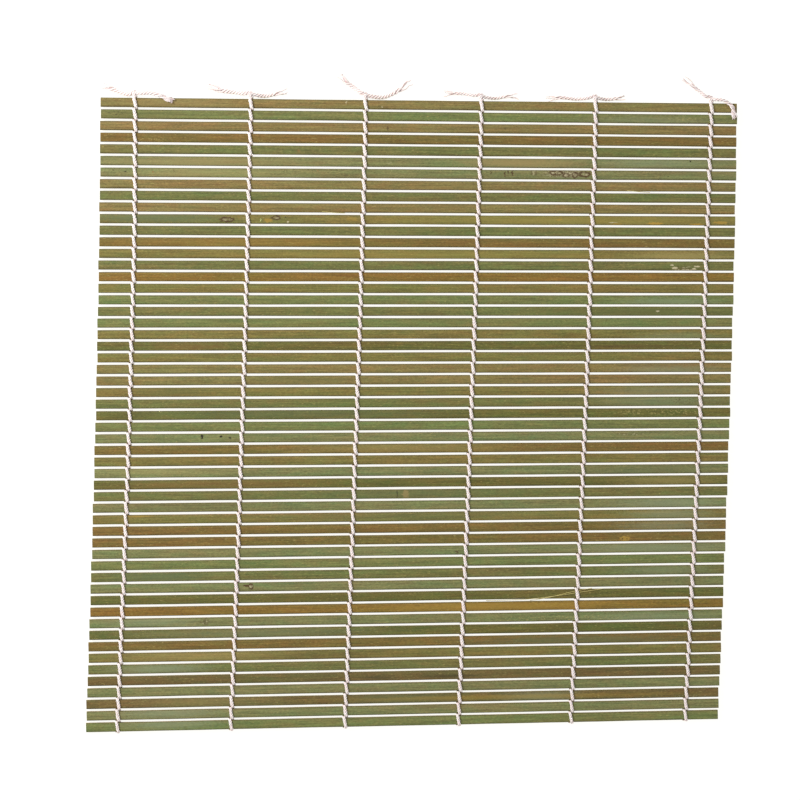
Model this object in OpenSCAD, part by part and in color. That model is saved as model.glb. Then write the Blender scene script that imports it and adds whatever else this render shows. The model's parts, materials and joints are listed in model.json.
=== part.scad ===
// Sushi rolling mat: split bamboo slats twined together with cotton strings.
// It lies flat with its green skin up, the slats run along X, and the knotted back edge faces +Y.
// The origin is on the table under the middle of the mat and its loose string ends.

/* [Slats] */
// Number of slats, from the knotted back edge to the folded front edge
slat_count = 55; // [10:1:55]
// Length of a slat, which is the mat's width from side to side
slat_length = 240; // [120:1:300]
// Width of a slat across the grain
slat_width = 3.55; // [2.5:0.05:5]
// Thickness of a slat
slat_thickness = 1.4; // [1:0.05:2.5]
// Radius of the bamboo cane that the green skin side was split from
cane_radius = 14; // [8:1:60]
// Rounding of the two long edges on the skin side
edge_rounding = 0.3; // [0.1:0.05:0.5]
// Bevel of the two long edges on the pale side
pale_bevel = 0.12; // [0.05:0.01:0.3]

/* [Strings] */
// Number of strings across the mat
string_count = 6; // [6:1:6]
// Distance from the end of a slat to the outermost string
string_margin = 12; // [6:0.5:30]
// How far the row of strings is off the middle of the back slat, to the right
string_offset = 1.4; // [-4:0.1:4]
// How far the strings have slipped to the left along the slats, on the way to the front slat
string_slip = 1.7; // [-3:0.1:3]
// Width of one strand of yarn, lying flat
yarn_width = 1.15; // [0.7:0.05:1.6]
// Thickness of one strand of yarn, pressed flat
yarn_thickness = 0.6; // [0.4:0.05:1]

/* [Fit] */
// Clear space between a strand and the slat it crosses
yarn_clearance = 0.05; // [0.03:0.01:0.2]
// Clear space between the two strands where they pass each other in a gap
strand_clearance = 0.06; // [0.03:0.01:0.3]
// Clear space on each side of a strand in the narrowest part of a gap
gap_play = 0.05; // [0.04:0.01:0.5]
// Clear space under a loose end, above the table and above a slat
loose_clearance = 0.15; // [0.1:0.05:0.5]

/* [Lie of the mat] */
// Turn of the back slat, in degrees, positive when its right end lies further back
back_turn = -0.55; // [-1.5:0.05:1.5]
// Turn of the front slat, in degrees
front_turn = 1.2; // [-1.5:0.05:1.5]
// How far the front slat has drifted to the left
drift = 6.3; // [0:0.1:12]
// Growth of the drift towards the front: 1 is an even lean, and more is a curve
drift_growth = 1.5; // [1:0.1:3]
// How unevenly the slats were trimmed, at most, to either side
trim_scatter = 0.2; // [0:0.05:0.5]

/* [Hidden] */
STRING_NODES = [
    "left_outer_string",
    "left_inner_string",
    "middle_strings",
    "right_inner_string",
    "right_outer_string"
];

// The green skin has kept its colour on some slats and has dried to olive, tan or brown on others.
// Each tone has the slats that wear it, and a slat that none names wears the first
TONES = [
    ["#7a7f51", [2, 18, 20, 29, 41, 55]],
    ["#82855c", [6, 7, 30, 33, 36, 40, 43, 46, 52, 54]],
    ["#74764a", [5, 9, 12, 15, 19, 27, 35, 42, 50]],
    ["#69683f", [22, 28, 34, 44, 47]],
    ["#7f7848", [11, 14, 17, 21, 23, 26, 32, 37, 49]],
    ["#8a7b50", [1, 3, 8, 10, 24, 25]],
    ["#7d6a40", [4, 13, 31, 38, 39, 48]],
    ["#6e6242", [51, 53]],
    ["#8f713e", [16, 45]]
];
COTTON = "#eadfda";

// The string that each node holds, counted from the left
STRINGS_OF_NODE = [[1], [2], [3, 4], [5], [6]];

// Turns of the two waves from slat to slat that scatter their trimmed ends, in degrees
SCATTER_STEPS = [137.5, 71];

// The narrowest gap is where the slats' turns bring their ends together
turn_step = (tan(front_turn) - tan(back_turn)) / (slat_count - 1);
tightest_gap = yarn_thickness + 2 * gap_play;
slat_pitch = slat_width + tightest_gap + abs(turn_step) * slat_length / 2;

// Heights: the strands' undersides lie on the table, and the slats between the strands
pass_height = slat_thickness / 2 + yarn_clearance + yarn_thickness / 2;
middle_z = pass_height + yarn_thickness / 2;
loose_on_table = loose_clearance + yarn_thickness / 2;
loose_on_slats = middle_z + slat_thickness / 2 + loose_clearance + yarn_thickness / 2;

// Strands stand side by side in a gap, one going down on the right and one coming up on the left
strand_side = (yarn_width + strand_clearance) / 2;
string_spacing = (slat_length - 2 * string_margin) / (string_count - 1);

// Section of a strand, as shares of its width and thickness: flat on one side, ridged on the other
YARN_SECTION = [[-0.38, -0.5], [0.38, -0.5], [0.5, 0.05], [0, 0.5], [-0.5, 0.05]];
SECTION_CORNERS = len(YARN_SECTION);
// The yarn turns over where it is folded, so its way back starts this many corners on
FOLD_SHIFT = 3;

// Where the two strands of a string cross behind the back slat, as points beside the gap there:
// right, back, and yarn thicknesses above a strand that passes over a slat
OVER_CROSSING = [[-0.35, 1.15, 1.25], [1.2, 1.9, 1]];
UNDER_CROSSING = [[0.35, 1.15, -0.15], [-1.2, 1.9, -0.5]];

// Loose ends of each string, left and right, as points beside the same gap:
// right, back, and a share of the way up from lying on the table to lying on the slats
LOOSE_ENDS = [
    [
        [[-2.6, 1, 0.4], [-6.6, 1.9, 0], [-10, 3.4, 0], [-12.9, 4.4, 0]],
        [[2.2, 1.2, 0.95], [5.2, 1.3, 1], [9, 0.4, 1], [13.3, -1.5, 1]]
    ],
    [
        [[-2.4, 1.7, 0.4], [-6, 2.2, 0], [-11.4, 2.9, 0], [-16.1, 4.8, 0]],
        [[2.4, 1, 0.4], [5.6, 0.8, 0], [9.6, 1.6, 0], [13.7, 2.4, 0]]
    ],
    [
        [[-1.7, 2.3, 0.45], [-4.4, 4.4, 0], [-7.2, 6.4, 0], [-9.4, 9.3, 0]],
        [[2.4, 1, 0.4], [7, 0.8, 0], [12.4, 3.2, 0], [17.3, 6.6, 0]]
    ],
    [
        [[-2.2, 1.8, 0.4], [-5.6, 2.4, 0], [-9.6, 2.6, 0], [-13.3, 2.5, 0]],
        [[2.6, 1, 0.4], [6.4, 0.8, 0], [10.2, 1.5, 0], [14.5, 1.6, 0]]
    ],
    [
        [[-2.4, 1.2, 0.4], [-7, 0.9, 0], [-13, 1.5, 0], [-18, 0.9, 0]],
        [[2.4, 1, 0.4], [5, 0.8, 0], [8.4, 1.1, 0], [11.7, 1.5, 0]]
    ],
    [
        [[-1.4, 2.4, 0.45], [-3.4, 4.2, 0], [-5.7, 6, 0], [-9.4, 9.3, 0]],
        [[2.4, 1, 0.9], [5.6, 0.6, 1], [8.6, -1.6, 1], [9.6, -5.8, 1]]
    ]
];

// Where the mat lies: the outermost corners of its slats, and the furthest back of its loose ends
back_reach = max([for (s = [1:string_count]) loose_end_reach(s)]);
front_reach = front_edge_reach();
left_reach = min([for (k = [1:slat_count]) for (p = slat_corners(k)) p.x]);
right_reach = max([for (k = [1:slat_count]) for (p = slat_corners(k)) p.x]);
lie_shift = [-(left_reach + right_reach) / 2, -(front_reach + back_reach) / 2, 0];

function slat_name(k) = str("slat_", k < 10 ? "0" : "", k);

// How far slat k is along the mat, from 0 at the back edge to 1 at the front edge
function along(k) = (k - 1) / (slat_count - 1);

// An even scatter from -1 to 1 that never changes: two waves that never fall into step
function scatter(k) = sin(k * SCATTER_STEPS[0]) * cos(k * SCATTER_STEPS[1]);

function slat_slope(k) = tan(back_turn) + turn_step * (k - 1);
function slat_x(k) = -drift * pow(along(k), drift_growth);
function slat_y(k, x) = -(k - 1) * slat_pitch + slat_slope(k) * x;

function slat_tone(k) = let (worn = [for (tone = TONES) if (len(search(k, tone[1])) > 0) tone[0]])
    len(worn) > 0 ? worn[0] : TONES[0][0];

// Slat k's frame: its middle, and its turn about Z
module at_slat(k) {
    translate(lie_shift + [slat_x(k), slat_y(k, slat_x(k)), middle_z])
        rotate([0, 0, atan(slat_slope(k))])
            children();
}

function slat_corners(k) = let (turn = atan(slat_slope(k)), x = slat_x(k) + trim_scatter * scatter(k)) [
    for (side = [-1, 1]) for (edge = [-1, 1]) [
        x + side * slat_length / 2 * cos(turn) - edge * slat_width / 2 * sin(turn),
        slat_y(k, x) + side * slat_length / 2 * sin(turn) + edge * slat_width / 2 * cos(turn)
    ]
];

// A slat's section: flat pale side below, crowned green skin above with rounded edges
function skin_height(y) = slat_thickness / 2 - cane_radius + sqrt(pow(cane_radius, 2) - y * y);
function slat_section() = let (
    half = slat_width / 2,
    shoulder = half - edge_rounding,
    rise = skin_height(shoulder)
) [
    [-half + pale_bevel, -slat_thickness / 2],
    [half - pale_bevel, -slat_thickness / 2],
    [half, -slat_thickness / 2 + pale_bevel],
    for (turn = [0:30:60])
        [shoulder + edge_rounding * cos(turn), rise - edge_rounding + edge_rounding * sin(turn)],
    for (share = [1:-0.5:-1])
        [share * shoulder, skin_height(share * shoulder)],
    for (turn = [120:30:180])
        [-shoulder + edge_rounding * cos(turn), rise - edge_rounding + edge_rounding * sin(turn)],
    [-half, -slat_thickness / 2 + pale_bevel]
];

module slat(k) {
    color(slat_tone(k))
        at_slat(k)
            translate([trim_scatter * scatter(k), 0, 0])
                rotate([90, 0, 90])
                    linear_extrude(slat_length, center = true)
                        polygon(slat_section());
}

// Gap g lies in front of slat g. Gap 0 is behind the back slat, and the last is in front of the front slat
function gap_y(g, x) = (slat_y(g, x) + slat_y(g + 1, x)) / 2;

// How far the strings are off their even places in gap g: the slats' drift, and the strings' own slip
function gap_drift(g) = let (k = max(1, min(slat_count, g + 0.5)))
    slat_x(k) + string_offset - string_slip * along(k);

function string_x(s) = -slat_length / 2 + string_margin + (s - 1) * string_spacing;

// A point of string s in gap g, to one side of the string's middle and at a height from the slats' middle
function gap_point(s, g, side, height) = let (x = string_x(s) + gap_drift(g) + side)
    [x, gap_y(g, x), middle_z + height];

// A ring is a section of the yarn: its middle, the way across it, and the way out of its ridged side
function falling(s, g) = [
    for (height = [pass_height, -pass_height])
        [gap_point(s, g, strand_side, height), [1, 0, 0], [0, -1, 1]]
];
function rising(s, g) = [
    for (height = [-pass_height, pass_height])
        [gap_point(s, g, -strand_side, height), [1, 0, 0], [0, 1, 1]]
];

// The strand that starts over the back slat, and the one that starts under it
function strand_rings(s, over) = [
    for (g = [1:slat_count - 1])
        for (ring = (g % 2 == 1) == over ? falling(s, g) : rising(s, g))
            ring
];

function unit(v) = v / norm(v);
function free_ring(before, here, after) = let (
    way = unit(unit(here - before) + unit(after - here)),
    out = unit([0, 0, 1] - way.z * way)
) [here, cross(out, way), out];

// Rings at all but the first and last of some free points, each facing midway between its neighbours
function free_rings(points) = [
    for (i = [1:len(points) - 2])
        free_ring(points[i - 1], points[i], points[i + 1])
];
function beyond(points) = 2 * points[len(points) - 1] - points[len(points) - 2];

function crossing_points(s, offsets) = [
    for (offset = offsets)
        gap_point(s, 0, 0, pass_height) + [offset.x, offset.y, offset.z * yarn_thickness]
];
function loose_end(s, side) = [
    for (offset = LOOSE_ENDS[s - 1][side])
        let (beside = gap_point(s, 0, 0, 0))
            [
                beside.x + offset.x,
                beside.y + offset.y,
                loose_on_table + offset.z * (loose_on_slats - loose_on_table)
            ]
];
function loose_end_reach(s) = max([
    for (side = [0, 1])
        let (points = loose_end(s, side))
            for (ring = free_rings(concat(points, [beyond(points)])))
                for (corner = ring_corners(ring, 0))
                    corner.y
]);
function front_edge_reach() = min([
    for (s = [1:string_count])
        for (side = [-strand_side, strand_side])
            gap_point(s, slat_count, side, 0).y - yarn_thickness / 2
]);

function reversed(list) = [for (i = [len(list) - 1:-1:0]) list[i]];
function turned(ring) = [ring[0], -ring[1], ring[2]];

// One string: from its right loose end over the mat, round the front slat, back again and to its left one
function way_there(s) = let (
    loose = concat(crossing_points(s, OVER_CROSSING), loose_end(s, 1)),
    points = concat(
        [beyond(loose)],
        reversed(loose),
        [gap_point(s, 0, -strand_side, pass_height), gap_point(s, 1, strand_side, pass_height)]
    )
) concat(
    free_rings(points),
    strand_rings(s, true),
    [slat_count % 2 == 1 ? falling(s, slat_count)[0] : rising(s, slat_count)[0]]
);
function way_back(s) = let (
    loose = concat(crossing_points(s, UNDER_CROSSING), loose_end(s, 0)),
    points = concat([gap_point(s, 0, strand_side, pass_height)], loose, [beyond(loose)])
) concat(
    [turned(slat_count % 2 == 1 ? rising(s, slat_count)[0] : falling(s, slat_count)[0])],
    [for (ring = reversed(strand_rings(s, false))) turned(ring)],
    [for (ring = reversed(falling(s, 0))) turned(ring)],
    free_rings(points)
);

function ring_corners(ring, shift) = [
    for (i = [0:SECTION_CORNERS - 1])
        let (corner = YARN_SECTION[(i + shift) % SECTION_CORNERS])
            ring[0] + corner.x * yarn_width * ring[1] + corner.y * yarn_thickness * ring[2]
];

// The skin of a tube through rings of corners, closed at both ends
function tube_faces(rings) = [
    for (r = [0:rings - 2])
        for (i = [0:SECTION_CORNERS - 1])
            let (
                here = r * SECTION_CORNERS,
                next = here + SECTION_CORNERS,
                j = (i + 1) % SECTION_CORNERS
            )
            for (face = [[here + i, next + i, next + j], [here + i, next + j, here + j]])
                face,
    for (i = [1:SECTION_CORNERS - 2])
        [0, i, i + 1],
    for (i = [1:SECTION_CORNERS - 2])
        let (last = (rings - 1) * SECTION_CORNERS)
            [last, last + i + 1, last + i]
];

module yarn(s) {
    there = way_there(s);
    back = way_back(s);
    points = concat(
        [for (ring = there) for (corner = ring_corners(ring, 0)) corner],
        [for (ring = back) for (corner = ring_corners(ring, FOLD_SHIFT)) corner]
    );
    polyhedron(points, tube_faces(len(there) + len(back)));
}

module strings(n) {
    color(COTTON)
        translate(lie_shift)
            for (s = STRINGS_OF_NODE[n])
                yarn(s);
}

for (k = [1:slat_count])
    slat(k);
for (n = [0:len(STRING_NODES) - 1])
    strings(n);
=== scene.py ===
# %% [markdown]
# # A bamboo rolling mat for sushi
# The mat is 55 slats of split green bamboo, held side by side by six cotton strings. Each string is one
# length of yarn folded round the front slat: its two strands run back over and under the slats, change
# places in every gap, and are knotted behind the back slat. Nothing else holds the mat together.
#
# The frame that is loaded here already has every slat at its real size and place, and a hinge in the
# middle of every gap. This lesson gives it its looks: slats with grain, scars and wandering edges, and
# strings of real twisted yarn. The frame is never moved. New pieces are made around it.

# %% Load the frame
import bpy
import json
import math
import random
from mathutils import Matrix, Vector


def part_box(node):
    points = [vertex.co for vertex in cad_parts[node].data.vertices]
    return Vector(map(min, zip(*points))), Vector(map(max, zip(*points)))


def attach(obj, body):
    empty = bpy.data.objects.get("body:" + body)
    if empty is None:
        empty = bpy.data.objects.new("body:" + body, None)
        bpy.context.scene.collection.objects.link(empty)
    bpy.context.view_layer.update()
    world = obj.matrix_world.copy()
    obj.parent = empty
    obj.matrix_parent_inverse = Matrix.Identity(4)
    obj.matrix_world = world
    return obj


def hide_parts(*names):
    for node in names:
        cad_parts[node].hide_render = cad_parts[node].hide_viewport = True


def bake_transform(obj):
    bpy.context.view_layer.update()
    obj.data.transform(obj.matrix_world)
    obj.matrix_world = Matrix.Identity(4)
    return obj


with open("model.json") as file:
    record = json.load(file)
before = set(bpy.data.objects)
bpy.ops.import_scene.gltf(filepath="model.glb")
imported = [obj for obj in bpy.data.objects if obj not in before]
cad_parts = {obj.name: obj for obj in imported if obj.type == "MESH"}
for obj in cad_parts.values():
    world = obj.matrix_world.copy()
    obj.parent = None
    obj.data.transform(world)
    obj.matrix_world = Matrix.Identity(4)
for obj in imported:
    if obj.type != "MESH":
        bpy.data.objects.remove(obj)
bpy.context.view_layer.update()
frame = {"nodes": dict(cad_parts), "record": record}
MM = 0.001
SLAT_NODES = sorted(name for name in frame["nodes"] if name.startswith("slat_"))
STRING_NODES = sorted(set(frame["nodes"]) - set(SLAT_NODES))
SLAT_COUNT = len(SLAT_NODES)
SLOT_OF = {row["node"]: row["material_slot"] for row in frame["record"]["subparts"]}
print("loaded", SLAT_COUNT, "slats and", len(STRING_NODES), "nodes of string")

# %% [markdown]
# ## Reading the slats' places
# A slat of the frame has all its corners at its two ends, so the middle of each end is half way between
# the outermost corners there. The two middles say where the slat lies and how it is turned, and every
# piece below is placed from them.

# %% Measure the slats
def end_middle(node, side):
    """The middle of a slat's left end (side -1) or right end (side 1), in metres."""
    low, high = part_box(node)
    middle_x = (low.x + high.x) / 2
    corners = [v.co for v in frame["nodes"][node].data.vertices if side * (v.co.x - middle_x) > 0]
    across = [c.y for c in corners]
    along = [c.x for c in corners]
    return Vector((
        (min(along) + max(along)) / 2,
        (min(across) + max(across)) / 2,
        (low.z + high.z) / 2,
    ))


LEFT_ENDS = [end_middle(name, -1) for name in SLAT_NODES]
RIGHT_ENDS = [end_middle(name, 1) for name in SLAT_NODES]
SLAT_LENGTH = (RIGHT_ENDS[0] - LEFT_ENDS[0]).length
SLAT_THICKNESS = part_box(SLAT_NODES[0])[1].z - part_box(SLAT_NODES[0])[0].z
MIDDLE_Z = LEFT_ENDS[0].z
square_to_slat = Vector((0, 0, 1)).cross(RIGHT_ENDS[0] - LEFT_ENDS[0]).normalized()
places_across = [v.co.dot(square_to_slat) for v in frame["nodes"][SLAT_NODES[0]].data.vertices]
SLAT_WIDTH = max(places_across) - min(places_across)
HALF_WIDTH = SLAT_WIDTH / 2 / MM
for name, size in (("long", SLAT_LENGTH), ("wide", SLAT_WIDTH), ("thick", SLAT_THICKNESS)):
    print("slats", round(size / MM, 2), "mm", name)

# %% [markdown]
# ## Two small helpers
# Colours are written as they look on a screen, and shaders need linear light, so one function turns
# them. Another adds a node to a tree with its settings and its inputs, because a tree is easier to
# read when each node is one short call.

# %% Helpers for colours and nodes
def linear(hex_colour):
    """An sRGB hex colour as the linear red, green, blue and alpha that a shader wants."""
    channels = [int(hex_colour[i:i + 2], 16) / 255 for i in (1, 3, 5)]
    return [c / 12.92 if c <= 0.04045 else ((c + 0.055) / 1.055) ** 2.4 for c in channels] + [1]


def socket(sockets, key):
    """A node's socket by its number, or the first one in use that has this name."""
    if isinstance(key, int):
        return sockets[key]
    return next(s for s in sockets if s.enabled and s.name == key)


def add(tree, kind, inputs=None, **settings):
    """Adds a node. An input is a plain value, another node, or one socket of another node."""
    node = tree.nodes.new(kind)
    for name, value in settings.items():
        setattr(node, name, value)
    for key, value in (inputs or {}).items():
        into = socket(node.inputs, key)
        if isinstance(value, bpy.types.Node):
            value = next(s for s in value.outputs if s.enabled)
        if isinstance(value, bpy.types.NodeSocket):
            tree.links.new(value, into)
        else:
            into.default_value = value
    return node


SOCKET_KINDS = {
    "float": "NodeSocketFloat",
    "int": "NodeSocketInt",
    "vector": "NodeSocketVector",
    "material": "NodeSocketMaterial",
}


def new_tree(name, kind, **labels):
    """An empty tree of nodes and its input node. A label says which kind of value that input takes."""
    tree = bpy.data.node_groups.new(name, kind)
    if kind == "GeometryNodeTree":
        tree.interface.new_socket("Geometry", in_out="INPUT", socket_type="NodeSocketGeometry")
        tree.interface.new_socket("Geometry", in_out="OUTPUT", socket_type="NodeSocketGeometry")
    for label, value_kind in labels.items():
        words = label.replace("_", " ").capitalize()
        tree.interface.new_socket(words, in_out="INPUT", socket_type=SOCKET_KINDS[value_kind])
    return tree, tree.nodes.new("NodeGroupInput")


def grow(name, tree, mesh, **sizes):
    """Runs a Geometry Nodes tree on a mesh with these sizes, and keeps the result as a plain mesh."""
    piece = bpy.data.objects.new(name, mesh)
    bpy.context.scene.collection.objects.link(piece)
    modifier = piece.modifiers.new("grow", "NODES")
    modifier.node_group = tree
    for label, value in sizes.items():
        words = label.replace("_", " ").capitalize()
        modifier[tree.interface.items_tree[words].identifier] = value
    evaluated = piece.evaluated_get(bpy.context.evaluated_depsgraph_get())
    grown = bpy.data.meshes.new_from_object(evaluated)
    piece.modifiers.clear()
    piece.data = grown
    return piece


# %% [markdown]
# ## The camera, the table and the light
# The photograph looks down from about a metre, and its slats get a little shorter towards the front, so
# the camera leans by a degree and a half. The table is plain white. It shows the camera a white of its
# own, because 0.8 mm slits between slats would otherwise go grey in their own shade, and it keeps a
# little of the soft shadow. One window-sized lamp low at the upper left gives each stitch its soft
# shade on the right, and lets the light fall off to the lower right, as it does in the photograph. The
# white world fills in the rest.

# %% Camera
LENS = 120
SENSOR = 36
PICTURE = 800
VIEW_WIDTH = 303.3 * MM
VIEW_MIDDLE = Vector((-3.95, 1.7, 0)) * MM
CAMERA_LEAN = math.radians(1.7)
CAMERA_DISTANCE = VIEW_WIDTH * LENS / SENSOR

camera = bpy.data.objects.new("camera", bpy.data.cameras.new("camera"))
bpy.context.scene.collection.objects.link(camera)
camera.data.lens = LENS
camera.data.sensor_width = SENSOR
camera.rotation_euler = (-CAMERA_LEAN, 0, 0)
camera.location = VIEW_MIDDLE + CAMERA_DISTANCE * Vector((0, math.sin(CAMERA_LEAN), math.cos(CAMERA_LEAN)))
camera.data.clip_start = 0.1
camera.data.clip_end = 20
bpy.context.scene.camera = camera
print("camera", round(camera.location.z, 2), "m above the table")


def seen_at(pixel_x, pixel_y, height):
    """The point at this height that a pixel of the photograph shows."""
    ray = Vector((pixel_x / PICTURE - 0.5, 0.5 - pixel_y / PICTURE, -LENS / SENSOR))
    ray.rotate(camera.rotation_euler)
    return camera.location + ray * ((height - camera.location.z) / ray.z)


# %% Light
LAMP_WAY = Vector((-1.4, 0.85, 1)).normalized()
LAMP_DISTANCE = 0.95
LAMP_SIZE = 0.3
LAMP_WATTS = 8.9
ROOM_LIGHT = 0.56


def seen_as_white(tree):
    """1 for the camera and for what mirrors or lets through, 0 for the light on the object."""
    ray = add(tree, "ShaderNodeLightPath")
    seen = add(tree, "ShaderNodeMath", {
        0: ray.outputs["Is Camera Ray"],
        1: ray.outputs["Is Glossy Ray"],
    }, operation="MAXIMUM")
    return add(tree, "ShaderNodeMath", {
        0: seen,
        1: ray.outputs["Is Transmission Ray"],
    }, operation="MAXIMUM")


bpy.context.scene.view_settings.view_transform = "Standard"
world = bpy.data.worlds.new("white_room")
bpy.context.scene.world = world
world.use_nodes = True
room = world.node_tree.nodes["Background"]
room.inputs["Color"].default_value = (1, 1, 1, 1)
strength = add(world.node_tree, "ShaderNodeMapRange", {
    "Value": seen_as_white(world.node_tree),
    "To Min": ROOM_LIGHT,
    "To Max": 1,
})
world.node_tree.links.new(strength.outputs["Result"], room.inputs["Strength"])

lamp = bpy.data.objects.new("window", bpy.data.lights.new("window", "AREA"))
bpy.context.scene.collection.objects.link(lamp)
lamp.data.energy = LAMP_WATTS
lamp.data.size = LAMP_SIZE
lamp.location = LAMP_WAY * LAMP_DISTANCE
lamp.rotation_euler = LAMP_WAY.to_track_quat("Z", "Y").to_euler()
lamp.visible_camera = False

# %% Table
TABLE_SIZE = 6
TABLE_CLEARANCE = 0.02 * MM


def white_table():
    """White laminate: matt, and it shows the camera and mirrors an even white."""
    material = bpy.data.materials.new("white_laminate")
    material.use_nodes = True
    tree = material.node_tree
    tree.nodes.clear()
    lit = add(tree, "ShaderNodeBsdfDiffuse", {"Color": linear("#f4f4f2")})
    faint = add(tree, "ShaderNodeBsdfDiffuse", {"Color": (0.16, 0.16, 0.16, 1)})
    glow = add(tree, "ShaderNodeEmission", {"Color": (1, 0.99, 0.95, 1), "Strength": 0.96})
    shown = add(tree, "ShaderNodeAddShader", {0: faint, 1: glow})
    mixed = add(tree, "ShaderNodeMixShader", {0: seen_as_white(tree), 1: lit, 2: shown})
    add(tree, "ShaderNodeOutputMaterial", {"Surface": mixed})
    return material


table_mesh = bpy.data.meshes.new("table")
half = TABLE_SIZE / 2
table_mesh.from_pydata(
    [(-half, -half, -TABLE_CLEARANCE), (half, -half, -TABLE_CLEARANCE),
     (half, half, -TABLE_CLEARANCE), (-half, half, -TABLE_CLEARANCE)],
    [], [(0, 1, 2, 3)],
)
table_mesh.materials.append(white_table())
table = bpy.data.objects.new("table", table_mesh)
bpy.context.scene.collection.objects.link(table)

# %% [markdown]
# ## Green bamboo
# A slat is split from a cane, planed flat below, and keeps the cane's own skin on top. The skin is
# waxy and has dried unevenly, to sage, olive, tan or brown, often along one slat. Under it runs the
# grain: straight fibres a few tenths of a millimetre wide. Sides and underside are pale raw wood.
#
# The pattern must run along each slat and never repeat, so the slat's own mesh carries a place: how
# far along, how far across, and which slat. Noise that is stretched along that place makes the
# fibres. Scars, knots and specks that show in the photograph are put at their places.

# %% Tones of the skin
# Each slot of the record: its greener tone and the browner one that it drifts towards
TONES = {
    "bamboo_leaf": ("#6c7d47", "#7e7645"),
    "bamboo_sage": ("#73804f", "#85794d"),
    "bamboo_moss": ("#68743f", "#7a6c3d"),
    "bamboo_dark_moss": ("#5e6731", "#71602f"),
    "bamboo_olive": ("#73753d", "#856e3a"),
    "bamboo_tan": ("#7c7845", "#8e7142"),
    "bamboo_brown": ("#706833", "#826130"),
    "bamboo_umber": ("#636235", "#755a33"),
    "bamboo_amber": ("#7d6b2d", "#8a652d"),
}
MARK_COLOURS = {
    "straw": "#b7a66a",
    "pale": "#c3b794",
    "tan": "#9a8556",
    "rust": "#94603a",
    "amber": "#b08e3c",
    "salmon": "#c0946c",
    "umber": "#503c24",
    "dark": "#33301f",
    "moss": "#5d6236",
    "green": "#6f8450",
    "gold": "#9b8c45",
    "lime": "#cfd38a",
    "silver": "#8c9674",
    "fern": "#5c6a48",
    "soot": "#221b0e",
}

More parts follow.
